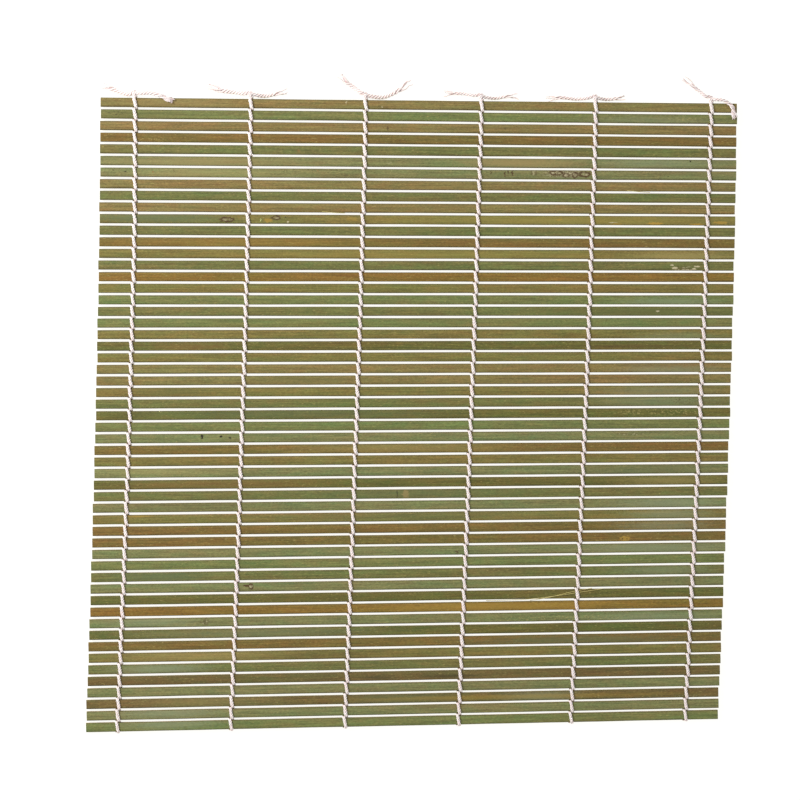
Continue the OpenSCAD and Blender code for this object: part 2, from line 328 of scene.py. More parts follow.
# %% Marks on the skin: slat, place in the photograph, half sizes in mm, colour, strength, kind
# A wash is a soft change of tone, a blot has a clear edge, specks are dots, flakes are lifted skin, a
# ring is a healed wound, dark round a pale middle, and a scar is a maze of pale patches with dark rims
MARKS = [
    (1, 180, 103, 32, 2.4, "tan", 0.35, "wash"),
    (1, 346.5, 102, 0.16, 0.9, "pale", 0.7, "blot"),
    (1, 382, 107, 0.3, 0.3, "pale", 0.7, "blot"),
    (1, 440, 109, 0.15, 0.7, "dark", 0.6, "blot"),
    (2, 150, 114, 32, 3, "moss", 0.3, "wash"),
    (2, 116, 113, 5, 0.9, "dark", 0.8, "specks"),
    (2, 650, 121, 38, 3, "silver", 0.35, "wash"),
    (2, 684, 119, 7, 0.7, "straw", 0.7, "specks"),
    (3, 388, 128, 0.3, 1.2, "umber", 0.7, "blot"),
    (3, 505, 128, 0.15, 0.9, "dark", 0.7, "blot"),
    (4, 151, 139, 6, 0.5, "straw", 0.6, "specks"),
    (4, 266, 141, 4, 0.5, "straw", 0.8, "specks"),
    (4, 399, 141, 4.5, 1.2, "dark", 0.5, "specks"),
    (5, 156, 151, 2.5, 0.6, "straw", 0.7, "specks"),
    (5, 298, 151, 1.4, 1.3, "rust", 0.5, "specks"),
    (6, 200, 162, 50, 3, "tan", 0.6, "wash"),
    (6, 520, 163, 34, 3, "tan", 0.8, "wash"),
    (6, 389, 163, 1.3, 0.12, "pale", 0.6, "blot"),
    (6, 660, 163, 32, 3, "silver", 0.4, "wash"),
    (6, 690.5, 161.3, 0.45, 0.4, "soot", 1, "blot"),
    (7, 215, 173, 45, 3, "straw", 0.3, "wash"),
    (7, 113.3, 170, 0.3, 0.25, "dark", 0.9, "blot"),
    (7, 125, 171.5, 0.45, 0.28, "dark", 0.9, "blot"),
    (7, 153, 172, 0.4, 0.4, "rust", 0.6, "blot"),
    (7, 173.5, 170.8, 0.14, 0.7, "umber", 0.8, "blot"),
    (7, 277, 174, 4, 0.1, "umber", 0.6, "blot"),
    (7, 284, 171, 0.14, 0.6, "dark", 0.8, "blot"),
    (7, 287, 170.7, 0.14, 0.6, "dark", 0.8, "blot"),
    (7, 314, 170.8, 2.6, 0.6, "rust", 0.7, "specks"),
    (7, 335, 170.4, 4.4, 0.1, "umber", 0.6, "blot"),
    (7, 346, 175.6, 2, 0.1, "umber", 0.6, "blot"),
    (7, 491, 172.3, 0.32, 0.9, "umber", 1, "blot"),
    (7, 505, 174, 0.32, 1.5, "umber", 1, "blot"),
    (7, 508, 172, 0.28, 1, "umber", 0.9, "blot"),
    (7, 512.5, 173, 0.32, 1.3, "umber", 1, "blot"),
    (7, 518, 178, 6, 0.22, "umber", 0.6, "specks"),
    (7, 534, 173, 1.9, 1.5, "umber", 1, "scar"),
    (7, 567, 174, 9, 2.2, "pale", 0.45, "wash"),
    (7, 566, 174, 11, 2, "umber", 1, "scar"),
    (7, 556, 172.8, 3.1, 1.2, "umber", 1, "ring"),
    (7, 566, 175.5, 1.6, 1, "umber", 0.9, "ring"),
    (7, 575, 175, 1.2, 1.4, "umber", 1, "ring"),
    (7, 584.5, 174.2, 2.6, 1.3, "umber", 1, "ring"),
    (7, 668.5, 176.2, 0.5, 0.18, "dark", 0.8, "blot"),
    (7, 660, 179.2, 1, 0.16, "dark", 0.8, "blot"),
    (11, 150, 218, 42, 3, "fern", 0.75, "wash"),
    (11, 560, 220, 100, 3, "gold", 0.5, "wash"),
    (11, 227, 219.5, 3.2, 1.15, "umber", 1, "ring"),
    (11, 260.6, 219.8, 0.25, 0.75, "lime", 0.9, "blot"),
    (11, 268, 220.3, 1.9, 0.9, "amber", 0.6, "blot"),
    (11, 276, 217.8, 2, 0.95, "umber", 1, "ring"),
    (11, 285.5, 217, 0.4, 0.3, "dark", 0.8, "blot"),
    (11, 287.3, 222, 0.3, 0.4, "pale", 0.9, "blot"),
    (11, 352, 219, 2.5, 1, "amber", 0.3, "blot"),
    (11, 559, 220, 1.6, 0.5, "amber", 0.5, "blot"),
    (11, 612.5, 222.6, 1.8, 0.16, "pale", 0.9, "blot"),
    (11, 616, 224.3, 3, 0.3, "amber", 0.6, "blot"),
    (11, 656, 223.6, 3.4, 0.55, "amber", 0.95, "blot"),
    (11, 695, 224.3, 2.8, 0.35, "amber", 0.9, "blot"),
    (11, 720, 222.8, 3.2, 0.6, "amber", 0.7, "blot"),
    (13, 250, 243, 75, 3, "amber", 0.2, "wash"),
    (14, 680, 257, 30, 3, "straw", 0.4, "wash"),
    (14, 420, 255, 120, 3, "gold", 0.35, "wash"),
    (15, 684, 268.5, 5, 1.1, "umber", 0.5, "scar"),
    (15, 672, 265, 0.9, 0.4, "pale", 1, "blot"),
    (15, 674.3, 268, 1.1, 0.45, "pale", 1, "blot"),
    (15, 684, 270.4, 4.2, 0.5, "pale", 1, "flakes"),
    (15, 694, 269, 1, 0.42, "pale", 1, "blot"),
    (15, 697.3, 266.6, 1, 0.4, "pale", 1, "blot"),
    (18, 670, 302, 30, 3, "silver", 0.5, "wash"),
    (19, 640, 312, 55, 3, "moss", 0.6, "wash"),
    (19, 658, 311, 0.9, 0.4, "pale", 0.8, "blot"),
    (21, 680, 337, 25, 3, "silver", 0.3, "wash"),
    (22, 190, 347, 25, 3, "rust", 0.3, "wash"),
    (22, 640, 346, 45, 0.8, "umber", 0.45, "wash"),
    (24, 670, 370, 30, 3, "silver", 0.4, "wash"),
    (25, 300, 380, 35, 3, "moss", 0.4, "wash"),
    (26, 170, 392, 25, 3, "moss", 0.5, "wash"),
    (26, 660, 391, 35, 3, "silver", 0.35, "wash"),
    (27, 660, 401, 35, 3, "silver", 0.35, "wash"),
    (27, 690, 401, 14, 1.6, "umber", 0.7, "specks"),
    (28, 300, 414, 90, 3, "fern", 0.4, "wash"),
    (28, 660, 412, 26, 1.5, "straw", 0.5, "specks"),
    (30, 202, 437, 0.6, 1.1, "soot", 1, "blot"),
    (30, 221, 436.5, 0.6, 0.5, "soot", 1, "blot"),
    (30, 230, 438, 0.5, 0.4, "dark", 0.8, "blot"),
    (30, 628, 434, 7, 0.6, "umber", 0.7, "scar"),
    (31, 400, 448, 65, 3, "straw", 0.25, "wash"),
    (33, 150, 471, 40, 3, "straw", 0.25, "wash"),
    (33, 650, 470, 40, 3, "fern", 0.4, "wash"),
    (34, 220, 484, 55, 3, "rust", 0.3, "wash"),
    (34, 670, 480, 28, 3, "straw", 0.3, "wash"),
    (35, 420, 493, 60, 3, "fern", 0.35, "wash"),
    (36, 200, 506, 50, 3, "umber", 0.3, "wash"),
    (36, 670, 503, 30, 3, "silver", 0.6, "wash"),
    (35, 397, 494, 0.3, 2, "dark", 0.8, "blot"),
    (35, 406, 494, 1.4, 2, "tan", 0.6, "blot"),
    (37, 400, 516, 90, 3, "fern", 0.25, "wash"),
    (37, 670, 514, 25, 3, "silver", 0.5, "wash"),
    (38, 665, 525, 28, 3, "silver", 0.4, "wash"),
    (37, 140, 516, 7, 0.6, "amber", 0.6, "wash"),
    (37, 250, 513.2, 62, 0.45, "salmon", 0.8, "wash"),
    (39, 625, 538.7, 2.4, 1.2, "amber", 0.7, "blot"),
    (39, 622.5, 538.7, 0.4, 0.3, "dark", 0.8, "blot"),
    (39, 627, 538.7, 0.4, 0.3, "dark", 0.7, "blot"),
    (40, 650, 548, 45, 3, "silver", 0.5, "wash"),
    (42, 160, 577, 28, 3, "fern", 0.6, "wash"),
    (42, 665, 570, 28, 3, "silver", 0.4, "wash"),
    (40, 457, 552, 0.7, 0.5, "umber", 0.8, "blot"),
    (43, 246.5, 585.7, 1.7, 0.45, "umber", 1, "blot"),
    (43, 251, 586.3, 1.1, 1.5, "umber", 1, "ring"),
    (45, 500, 606, 75, 2.6, "amber", 0.45, "wash"),
    (46, 150, 622, 25, 3, "silver", 0.4, "wash"),
    (46, 650, 617, 35, 3, "silver", 0.4, "wash"),
    (47, 250, 633, 70, 3, "silver", 0.3, "wash"),
    (48, 580, 640, 60, 3, "fern", 0.55, "wash"),
    (46, 205, 621.5, 2.3, 1.8, "umber", 1, "scar"),
    (46, 560, 618, 40, 1.4, "straw", 0.5, "specks"),
    (49, 200, 656, 45, 3, "straw", 0.25, "wash"),
    (49, 330, 655, 40, 3, "umber", 0.3, "wash"),
    (50, 160, 669, 28, 3, "silver", 0.6, "wash"),
    (51, 378, 678, 10, 2, "dark", 0.4, "wash"),
    (51, 450, 676, 17, 1.1, "soot", 0.45, "wash"),
    (53, 200, 702, 45, 3, "straw", 0.2, "wash"),
    (53, 400, 699, 30, 3, "fern", 0.5, "wash"),
    (53, 540, 696, 22, 3, "silver", 0.4, "wash"),
    (54, 170, 713, 28, 3, "silver", 0.5, "wash"),
    (55, 170, 724, 28, 3, "silver", 0.5, "wash"),
    (53, 500, 697, 95, 1.5, "amber", 0.35, "wash"),
    (53, 690, 700, 10, 1.4, "pale", 0.5, "specks"),
]


def place_on_slat(number, pixel_x, pixel_y):
    """How far along and across a slat a pixel of the photograph lies, in mm from its middle."""
    left = LEFT_ENDS[number - 1]
    right = RIGHT_ENDS[number - 1]
    way = (right - left).normalized()
    beside = seen_at(pixel_x, pixel_y, MIDDLE_Z + SLAT_THICKNESS / 2) - (left + right) / 2
    along = beside.dot(way) / MM
    across = (way.x * beside.y - way.y * beside.x) / MM
    return along, max(-HALF_WIDTH, min(HALF_WIDTH, across))


# %% [markdown]
# ### One mark
# Every mark is an oval on one slat. A group of nodes measures how far a point is from the oval's
# middle, in shares of its half sizes, and roughens that distance with noise, so that no mark has a
# drawn edge. Its strength fades over the last part of the way.

# %% A group for one mark
def mark_group():
    tree, source = new_tree(
        "mark_on_skin", "ShaderNodeTree",
        place="vector", slat="float", middle="vector", half_sizes="vector", softness="float",
    )
    tree.interface.new_socket("Mask", in_out="OUTPUT", socket_type="NodeSocketFloat")
    beside = add(tree, "ShaderNodeVectorMath", {
        0: source.outputs["Place"],
        1: source.outputs["Middle"],
    }, operation="SUBTRACT")
    share = add(tree, "ShaderNodeVectorMath", {
        0: beside,
        1: source.outputs["Half sizes"],
    }, operation="DIVIDE")
    flat = add(tree, "ShaderNodeVectorMath", {0: share, 1: (1, 1, 0)}, operation="MULTIPLY")
    distance = add(tree, "ShaderNodeVectorMath", {0: flat}, operation="LENGTH")
    rough = add(tree, "ShaderNodeTexNoise", {
        "Vector": add(tree, "ShaderNodeVectorMath", {
            0: source.outputs["Place"],
            1: (1.1, 2.6, 5.3),
        }, operation="MULTIPLY"),
        "Scale": 1,
        "Detail": 2,
    })
    ragged = add(tree, "ShaderNodeMath", {
        0: add(tree, "ShaderNodeMath", {0: rough, 1: 0.5}, operation="SUBTRACT"),
        1: 0.9,
        2: distance.outputs["Value"],
    }, operation="MULTIPLY_ADD")
    fade = add(tree, "ShaderNodeMapRange", {
        "Value": ragged,
        "From Min": add(tree, "ShaderNodeMath", {
            0: 1,
            1: source.outputs["Softness"],
        }, operation="SUBTRACT"),
        "From Max": 1,
        "To Min": 1,
        "To Max": 0,
    }, interpolation_type="SMOOTHSTEP")
    number = add(tree, "ShaderNodeSeparateXYZ", {0: source.outputs["Place"]})
    same_slat = add(tree, "ShaderNodeMath", {
        0: number.outputs["Z"],
        1: source.outputs["Slat"],
        2: 0.5,
    }, operation="COMPARE")
    mask = add(tree, "ShaderNodeMath", {0: fade, 1: same_slat}, operation="MULTIPLY")
    add(tree, "NodeGroupOutput", {"Mask": mask})
    return tree


MARK = mark_group()

# %% [markdown]
# ### The material of one tone
# The skin starts from its tone. A slow drift, some 55 mm long, and patches of a few millimetres take it
# towards its browner tone. Streaks, fibres and a fine grit lighten and darken it, and it has small
# flecks. Both long edges are darkened with painted shade, where the rounded skin turns away from the light.
# The raw sides are pale. The skin has a soft wax gloss, and the fibres stand a few hundredths of a
# millimetre proud, which the bump gives.

# %% Bamboo material
RAW_WOOD = "#c4b283"
# The painted shade on the rounded long edges of the skin, where they turn away from the light
EDGE_SHADE = "#45421f"
# Each pattern's grain in mm, along and across the slat, and how far it changes with the next slat
DRIFT_SIZE = (55, 5.5, 0.14)
PATCH_SIZE = (5.5, 1.7, 0.19)
STREAK_SIZE = (17, 0.55, 0.31)
FIBRE_SIZE = (4.5, 0.16, 0.17)
GRIT_SIZE = (0.9, 0.5, 0.27)
FLECK_SIZE = (1.3, 0.34, 0.23)
MAZE_SIZE = (1.1, 0.8, 0.4)


def stretched_noise(tree, place, size, detail):
    """Noise whose grains are this many mm long and wide, and that changes from slat to slat."""
    scaled = add(tree, "ShaderNodeVectorMath", {0: place, 1: [1 / s for s in size]}, operation="MULTIPLY")
    return add(tree, "ShaderNodeTexNoise", {"Vector": scaled, "Scale": 1, "Detail": detail})


def between(tree, value, low, high, to_low=0, to_high=1):
    """Maps a value's range from low to high onto another range."""
    return add(tree, "ShaderNodeMapRange", {
        "Value": value,
        "From Min": low,
        "From Max": high,
        "To Min": to_low,
        "To Max": to_high,
    })


def blend_colour(tree, share, below, above, how="MIX"):
    """Lays one colour over another by a share."""
    return add(tree, "ShaderNodeMix", {
        "Factor": share,
        "A": below,
        "B": above,
    }, data_type="RGBA", blend_type=how)


def times(tree, a, b):
    return add(tree, "ShaderNodeMath", {0: a, 1: b}, operation="MULTIPLY")


def lay_marks(tree, place, colour, slats):
    """Lays every mark that belongs to these slats over the colour."""
    maze = stretched_noise(tree, place, MAZE_SIZE, 3)
    dots = stretched_noise(tree, place, (0.75, 0.42, 0.19), 2)
    dotted = between(tree, dots, 0.56, 0.62)
    from_half = add(tree, "ShaderNodeMath", {
        0: add(tree, "ShaderNodeMath", {0: maze, 1: 0.5}, operation="SUBTRACT"),
    }, operation="ABSOLUTE")
    rims = between(tree, add(tree, "ShaderNodeMath", {
        0: add(tree, "ShaderNodeMath", {0: from_half, 1: 0.05}, operation="SUBTRACT"),
    }, operation="ABSOLUTE"), 0.01, 0.035, 1, 0)
    patches = between(tree, maze, 0.53, 0.6)
    flakes = between(tree, maze, 0.42, 0.5)
    # The marks' own places are shaken a little, so that none is a plain oval
    shaken = add(tree, "ShaderNodeTexNoise", {
        "Vector": add(tree, "ShaderNodeVectorMath", {0: place, 1: (0.9, 1.5, 2.3)}, operation="MULTIPLY"),
        "Scale": 1,
        "Detail": 2,
    })
    shaken = add(tree, "ShaderNodeVectorMath", {
        0: shaken.outputs["Color"],
        1: (0.5, 0.5, 0.5),
    }, operation="SUBTRACT")
    mark_place = add(tree, "ShaderNodeVectorMath", {
        0: shaken,
        1: (1.5, 0.8, 0),
        2: place,
    }, operation="MULTIPLY_ADD")
    for slat, px, py, half_length, half_width, name, strength, kind in MARKS:
        if slat not in slats:
            continue
        along, across = place_on_slat(slat, px, py)
        softness = {"wash": 0.9, "blot": 0.35, "specks": 0.6, "flakes": 0.4, "scar": 0.5, "ring": 0.25}
        mask = add(tree, "ShaderNodeGroup", {
            "Place": mark_place,
            "Slat": slat,
            "Middle": (along, across, slat),
            "Half sizes": (half_length, half_width, 1),
            "Softness": softness[kind],
        }, node_tree=MARK)
        if kind == "specks":
            mask = times(tree, mask, dotted)
        if kind == "flakes":
            mask = times(tree, mask, flakes)
        if kind == "scar":
            patch = times(tree, mask, patches)
            colour = blend_colour(tree, times(tree, patch, 0.35), colour, linear(MARK_COLOURS["pale"]))
            mask = times(tree, mask, rims)
        if kind == "ring":
            inner = add(tree, "ShaderNodeGroup", {
                "Place": mark_place,
                "Slat": slat,
                "Middle": (along, across, slat),
                "Half sizes": (half_length * 0.68, half_width * 0.55, 1),
                "Softness": 0.3,
            }, node_tree=MARK)
            pale = times(tree, inner, between(tree, maze, 0.42, 0.6, 0.1, 0.65))
            colour = blend_colour(tree, pale, colour, linear(MARK_COLOURS["pale"]))
            outline = between(tree, inner, 0, 1, 1, 0.1)
            line = add(tree, "ShaderNodeMath", {0: outline, 1: times(tree, rims, 0.75)}, operation="MAXIMUM")
            mask = times(tree, mask, line)
        colour = blend_colour(tree, times(tree, mask, strength), colour, linear(MARK_COLOURS[name]))
    return colour


def split_bamboo(slot_name, slats):
    """Split green bamboo with its waxy skin on top, in one tone."""
    greener, browner = TONES[slot_name]
    material = bpy.data.materials.new("split_" + slot_name)
    material.use_nodes = True
    tree = material.node_tree
    shader = tree.nodes["Principled BSDF"]
    place = add(tree, "ShaderNodeAttribute", attribute_name="grain_place").outputs["Vector"]
    sides = add(tree, "ShaderNodeAttribute", attribute_name="raw_wood").outputs["Fac"]
    across = add(tree, "ShaderNodeSeparateXYZ", {0: place}).outputs["Y"]

    drift = between(tree, stretched_noise(tree, place, DRIFT_SIZE, 2), 0.25, 0.75, 0.1, 0.9)
    patch = between(tree, stretched_noise(tree, place, PATCH_SIZE, 2), 0.3, 0.7, -0.24, 0.24)
    brownness = add(tree, "ShaderNodeMath", {0: drift, 1: patch}, operation="ADD", use_clamp=True)
    colour = blend_colour(tree, brownness, linear(greener), linear(browner))
    streak = stretched_noise(tree, place, STREAK_SIZE, 3)
    fibre = stretched_noise(tree, place, FIBRE_SIZE, 2)
    grit = stretched_noise(tree, place, GRIT_SIZE, 2)
    light = times(tree, between(tree, streak, 0.3, 0.7, 0.71, 1.14), between(tree, fibre, 0.3, 0.7, 0.89, 1.11))
    light = times(tree, light, between(tree, grit, 0.3, 0.7, 0.82, 1.18))
    grey = add(tree, "ShaderNodeCombineColor", {0: light, 1: light, 2: light})
    colour = blend_colour(tree, 1, colour, grey, "MULTIPLY")
    flecks = stretched_noise(tree, place, FLECK_SIZE, 1)
    colour = blend_colour(tree, between(tree, flecks, 0.66, 0.74, 0, 0.5), colour, linear("#a89a5e"))
    colour = blend_colour(tree, between(tree, flecks, 0.32, 0.26, 0, 0.45), colour, linear("#43401f"))
    colour = lay_marks(tree, place, colour, slats)

    # Painted shade: both long edges darken, with a ragged inner border, where the rounded skin turns away from
    # the light
    ragged = add(tree, "ShaderNodeMath", {
        0: between(tree, streak, 0.3, 0.7, -0.12, 0.12),
        1: across,
    }, operation="ADD")
    for side in (-1, 1):
        edge = between(tree, ragged, side * (HALF_WIDTH - 0.45), side * (HALF_WIDTH - 0.12), 0, 0.7)
        colour = blend_colour(tree, edge, colour, linear(EDGE_SHADE))
    wood = blend_colour(tree, between(tree, fibre, 0.35, 0.65), linear(RAW_WOOD), linear("#b19d6b"))
    colour = blend_colour(tree, sides, colour, wood)
    tree.links.new(socket(colour.outputs, "Result"), shader.inputs["Base Color"])

    gloss = between(tree, streak, 0.3, 0.7, 0.42, 0.58)
    roughness = add(tree, "ShaderNodeMix", {"Factor": sides, "A": gloss, "B": 0.85})
    tree.links.new(socket(roughness.outputs, "Result"), shader.inputs["Roughness"])
    shader.inputs["Specular IOR Level"].default_value = 0.24
    relief = add(tree, "ShaderNodeMath", {0: fibre, 1: streak}, operation="ADD")
    bump = add(tree, "ShaderNodeBump", {"Height": relief, "Strength": 0.35, "Distance": 0.04 * MM})
    tree.links.new(bump.outputs["Normal"], shader.inputs["Normal"])
    return material


SLATS_OF_SLOT = {}
for node in SLAT_NODES:
    SLATS_OF_SLOT.setdefault(SLOT_OF[node], []).append(int(node[-2:]))
BAMBOO = {name: split_bamboo(name, numbers) for name, numbers in SLATS_OF_SLOT.items()}
print("made", len(BAMBOO), "tones of bamboo")

# %% [markdown]
# ## The slats
# One slat is a section swept along a line: flat below, crowned on top like the cane it came from, with
# its upper edges rounded. All 55 follow the same rule with other sizes, so a tree of Geometry Nodes
# makes them. The tree also lets the edges wander by a tenth of a millimetre, always inwards, so that a
# slat never reaches into its neighbour or its strings, and it writes each point's place on the slat
# for the grain.

# %% A tree for the slats
def slat_tree():
    tree, source = new_tree(
        "split_slat", "GeometryNodeTree",
        left_end="vector", right_end="vector", width="float", thickness="float",
        cane_radius="float", edge_rounding="float", bevel="float", facet="float", step="float",
        wander="float", slat_number="float", material="material",
    )
    give = source.outputs
    outline = add(tree, "GeometryNodeCurvePrimitiveQuadrilateral", {
        "Width": give["Width"],
        "Height": give["Thickness"],
    })
    position = add(tree, "GeometryNodeInputPosition")
    height = add(tree, "ShaderNodeSeparateXYZ", {0: position}).outputs["Y"]
    # Curve to Mesh turns the section over, so the skin side is drawn below
    is_skin = add(tree, "FunctionNodeCompare", {"A": height, "B": 0.0}, operation="LESS_THAN")
    corner = add(tree, "GeometryNodeSwitch", {
        "Switch": is_skin,
        "False": give["Bevel"],
        "True": give["Edge rounding"],
    }, input_type="FLOAT")
    rounded = add(tree, "GeometryNodeFilletCurve", {
        "Curve": outline,
        "Radius": corner,
    }, mode="POLY")
    socket(rounded.inputs, "Count").default_value = 3
    following = add(tree, "GeometryNodeOffsetPointInCurve", {
        "Point Index": add(tree, "GeometryNodeInputIndex"),
        "Offset": 1,
    })
    next_point = add(tree, "GeometryNodeFieldAtIndex", {
        "Value": position,
        "Index": following.outputs["Point Index"],
    }, data_type="FLOAT_VECTOR", domain="POINT")
    length = add(tree, "ShaderNodeVectorMath", {0: position, 1: next_point}, operation="DISTANCE")
    parts = add(tree, "ShaderNodeMath", {0: length.outputs["Value"], 1: give["Facet"]}, operation="DIVIDE")
    cut = add(tree, "GeometryNodeSubdivideCurve", {
        "Curve": rounded,
        "Cuts": add(tree, "ShaderNodeMath", {0: parts}, operation="FLOOR"),
    })
    side = add(tree, "ShaderNodeSeparateXYZ", {0: position})
    radius_squared = add(tree, "ShaderNodeMath", {0: give["Cane radius"], 1: 2}, operation="POWER")
    side_squared = add(tree, "ShaderNodeMath", {0: side.outputs["X"], 1: 2}, operation="POWER")
    fall = add(tree, "ShaderNodeMath", {
        0: give["Cane radius"],
        1: add(tree, "ShaderNodeMath", {
            0: add(tree, "ShaderNodeMath", {0: radius_squared, 1: side_squared}, operation="SUBTRACT"),
        }, operation="SQRT"),
    }, operation="SUBTRACT")
    crowned = add(tree, "GeometryNodeSetPosition", {
        "Geometry": cut,
        "Selection": add(tree, "FunctionNodeCompare", {
            "A": side.outputs["Y"],
            "B": 0.0,
        }, operation="LESS_THAN"),
        "Offset": add(tree, "ShaderNodeCombineXYZ", {"Y": fall}),
    })
    section = add(tree, "GeometryNodeStoreNamedAttribute", {
        "Geometry": crowned,
        "Name": "section_place",
        "Value": position,
    }, data_type="FLOAT_VECTOR", domain="POINT")

    line = add(tree, "GeometryNodeCurvePrimitiveLine", {
        "Start": give["Left end"],
        "End": give["Right end"],
    })
    line = add(tree, "GeometryNodeResampleCurve", {"Curve": line}, mode="LENGTH")
    tree.links.new(give["Step"], line.inputs["Length"])
    length = add(tree, "GeometryNodeSplineParameter")
    line = add(tree, "GeometryNodeStoreNamedAttribute", {
        "Geometry": line,
        "Name": "length_share",
        "Value": length.outputs["Factor"],
    }, data_type="FLOAT", domain="POINT")
    solid = add(tree, "GeometryNodeCurveToMesh", {
        "Curve": line,
        "Profile Curve": section,
        "Fill Caps": True,
    })

    whole = add(tree, "ShaderNodeVectorMath", {
        0: give["Right end"],
        1: give["Left end"],
    }, operation="SUBTRACT")
    whole_length = add(tree, "ShaderNodeVectorMath", {0: whole}, operation="LENGTH").outputs["Value"]
    share = add(tree, "GeometryNodeInputNamedAttribute", {"Name": "length_share"}, data_type="FLOAT")
    along = times(tree, add(tree, "ShaderNodeMath", {0: share, 1: 0.5}, operation="SUBTRACT"), whole_length)
    drawn = add(tree, "GeometryNodeInputNamedAttribute", {"Name": "section_place"}, data_type="FLOAT_VECTOR")
    drawn = add(tree, "ShaderNodeSeparateXYZ", {0: drawn})
    across = times(tree, drawn.outputs["X"], -1.0)
    place = add(tree, "ShaderNodeCombineXYZ", {
        "X": times(tree, along, 1 / MM),
        "Y": times(tree, across, 1 / MM),
        "Z": give["Slat number"],
    })
    solid = add(tree, "GeometryNodeStoreNamedAttribute", {
        "Geometry": solid,
        "Name": "grain_place",
        "Value": place,
    }, data_type="FLOAT_VECTOR", domain="POINT")
    shoulder = add(tree, "ShaderNodeMath", {
        0: times(tree, give["Thickness"], -0.5),
        1: give["Edge rounding"],
    }, operation="ADD")
    raw = add(tree, "ShaderNodeMapRange", {
        "Value": drawn.outputs["Y"],
        "From Min": add(tree, "ShaderNodeMath", {0: shoulder, 1: 0.05 * MM}, operation="SUBTRACT"),
        "From Max": shoulder,
    })
    solid = add(tree, "GeometryNodeStoreNamedAttribute", {
        "Geometry": solid,
        "Name": "raw_wood",
        "Value": raw,
    }, data_type="FLOAT", domain="POINT")

    # The edges wander inwards, each by its own slow noise
    edge_share = add(tree, "ShaderNodeMath", {0: across, 1: give["Width"]}, operation="DIVIDE")
    edge = add(tree, "ShaderNodeMath", {0: edge_share}, operation="SIGN")
    noise_place = add(tree, "ShaderNodeCombineXYZ", {
        "X": times(tree, along, 1 / (23 * MM)),
        "Y": times(tree, edge, 3.7),
        "Z": times(tree, give["Slat number"], 5.1),
    })
    noise = add(tree, "ShaderNodeTexNoise", {"Vector": noise_place, "Scale": 1, "Detail": 3})
    inwards = add(tree, "ShaderNodeMapRange", {
        "Value": noise,
        "From Min": 0.35,
        "From Max": 0.75,
        "To Min": 0,
        "To Max": give["Wander"],
    })
    sideways = add(tree, "ShaderNodeVectorMath", {
        0: add(tree, "ShaderNodeVectorMath", {0: (0, 0, 1), 1: whole}, operation="CROSS_PRODUCT"),
    }, operation="NORMALIZE")
    amount = times(tree, times(tree, edge_share, -2.0), inwards)
    solid = add(tree, "GeometryNodeSetPosition", {
        "Geometry": solid,
        "Offset": add(tree, "ShaderNodeVectorMath", {0: sideways, "Scale": amount}, operation="SCALE"),
    })

    solid = add(tree, "GeometryNodeSetShadeSmooth", {"Geometry": solid, "Shade Smooth": True})
    bend = add(tree, "GeometryNodeInputMeshEdgeAngle")
    sharp = add(tree, "FunctionNodeCompare", {
        "A": bend.outputs["Unsigned Angle"],
        "B": math.radians(35),
    }, operation="GREATER_THAN")
    solid = add(tree, "GeometryNodeSetShadeSmooth", {
        "Geometry": solid,
        "Selection": sharp,
        "Shade Smooth": False,
    }, domain="EDGE")
    solid = add(tree, "GeometryNodeRealizeInstances", {"Geometry": solid})
    solid = add(tree, "GeometryNodeSetMaterial", {"Geometry": solid, "Material": give["Material"]})
    add(tree, "NodeGroupOutput", {"Geometry": solid})
    return tree


SLAT_TREE = slat_tree()

# %% Grow the slats
for number, node in enumerate(SLAT_NODES, start=1):
    piece = grow(
        "bamboo_" + node, SLAT_TREE, bpy.data.meshes.new(node),
        left_end=LEFT_ENDS[number - 1], right_end=RIGHT_ENDS[number - 1],
        width=SLAT_WIDTH, thickness=SLAT_THICKNESS, cane_radius=14 * MM,
        edge_rounding=0.3 * MM, bevel=0.12 * MM, facet=0.5 * MM, step=5 * MM,
        wander=0.08 * MM, slat_number=float(number), material=BAMBOO[SLOT_OF[node]],
    )
    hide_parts(node)
    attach(piece, node)
print("grew", SLAT_COUNT, "slats of", len(piece.data.vertices), "points each")

# %% [markdown]
# ## The way the strings run
# Every string has two strands, and in each gap one goes down on the right while the other comes up on
# the left. The next gap is the same with the strands changed over, so from above each slat wears one
# short stitch that leans to the right. The bend of the mat is in the gaps, so the strings are cut into
# pieces in the middle of the slats, and each piece spans the one gap in its middle.
#
# A strand is first only a line of points. Each point also says which way the yarn's flat side lies
# there, how far along the yarn it is, how wide and thick the yarn is pressed, and how loose it is.

# %% Places of the strings
STRING_COUNT = 6
STRING_MARGIN = 12 * MM
STRING_OFFSET = 1.4 * MM
STRING_SLIP = 1.7 * MM
DRIFT = 6.3 * MM
PASS_HEIGHT = 1.05 * MM
STRAND_SIDE = 0.605 * MM
HALF_PITCH = 0.5 * (LEFT_ENDS[0] + RIGHT_ENDS[0] - LEFT_ENDS[1] - RIGHT_ENDS[1]).length / 2
MAT_X = (LEFT_ENDS[0].x + RIGHT_ENDS[0].x) / 2


def line_y(number, x):
    """Where slat number's middle line is at x. A number past the last slat carries the row on."""
    if number < 1:
        return 2 * line_y(1, x) - line_y(2, x)
    if number > SLAT_COUNT:
        return 2 * line_y(SLAT_COUNT, x) - line_y(SLAT_COUNT - 1, x)
    left = LEFT_ENDS[number - 1]
    right = RIGHT_ENDS[number - 1]
    return left.y + (right.y - left.y) * (x - left.x) / (right.x - left.x)


def gap_y(gap, x):
    return (line_y(gap, x) + line_y(gap + 1, x)) / 2


def even_x(string, gap):
    """A string's even place in a gap. It drifts with the slats, and slips along them a little."""
    spacing = (SLAT_LENGTH - 2 * STRING_MARGIN) / (STRING_COUNT - 1)
    share = min(max((gap - 0.5) / (SLAT_COUNT - 1), 0), 1)
    start = MAT_X - SLAT_LENGTH / 2 + STRING_MARGIN + STRING_OFFSET
    return start + (string - 1) * spacing - DRIFT * share ** 1.5 - STRING_SLIP * share


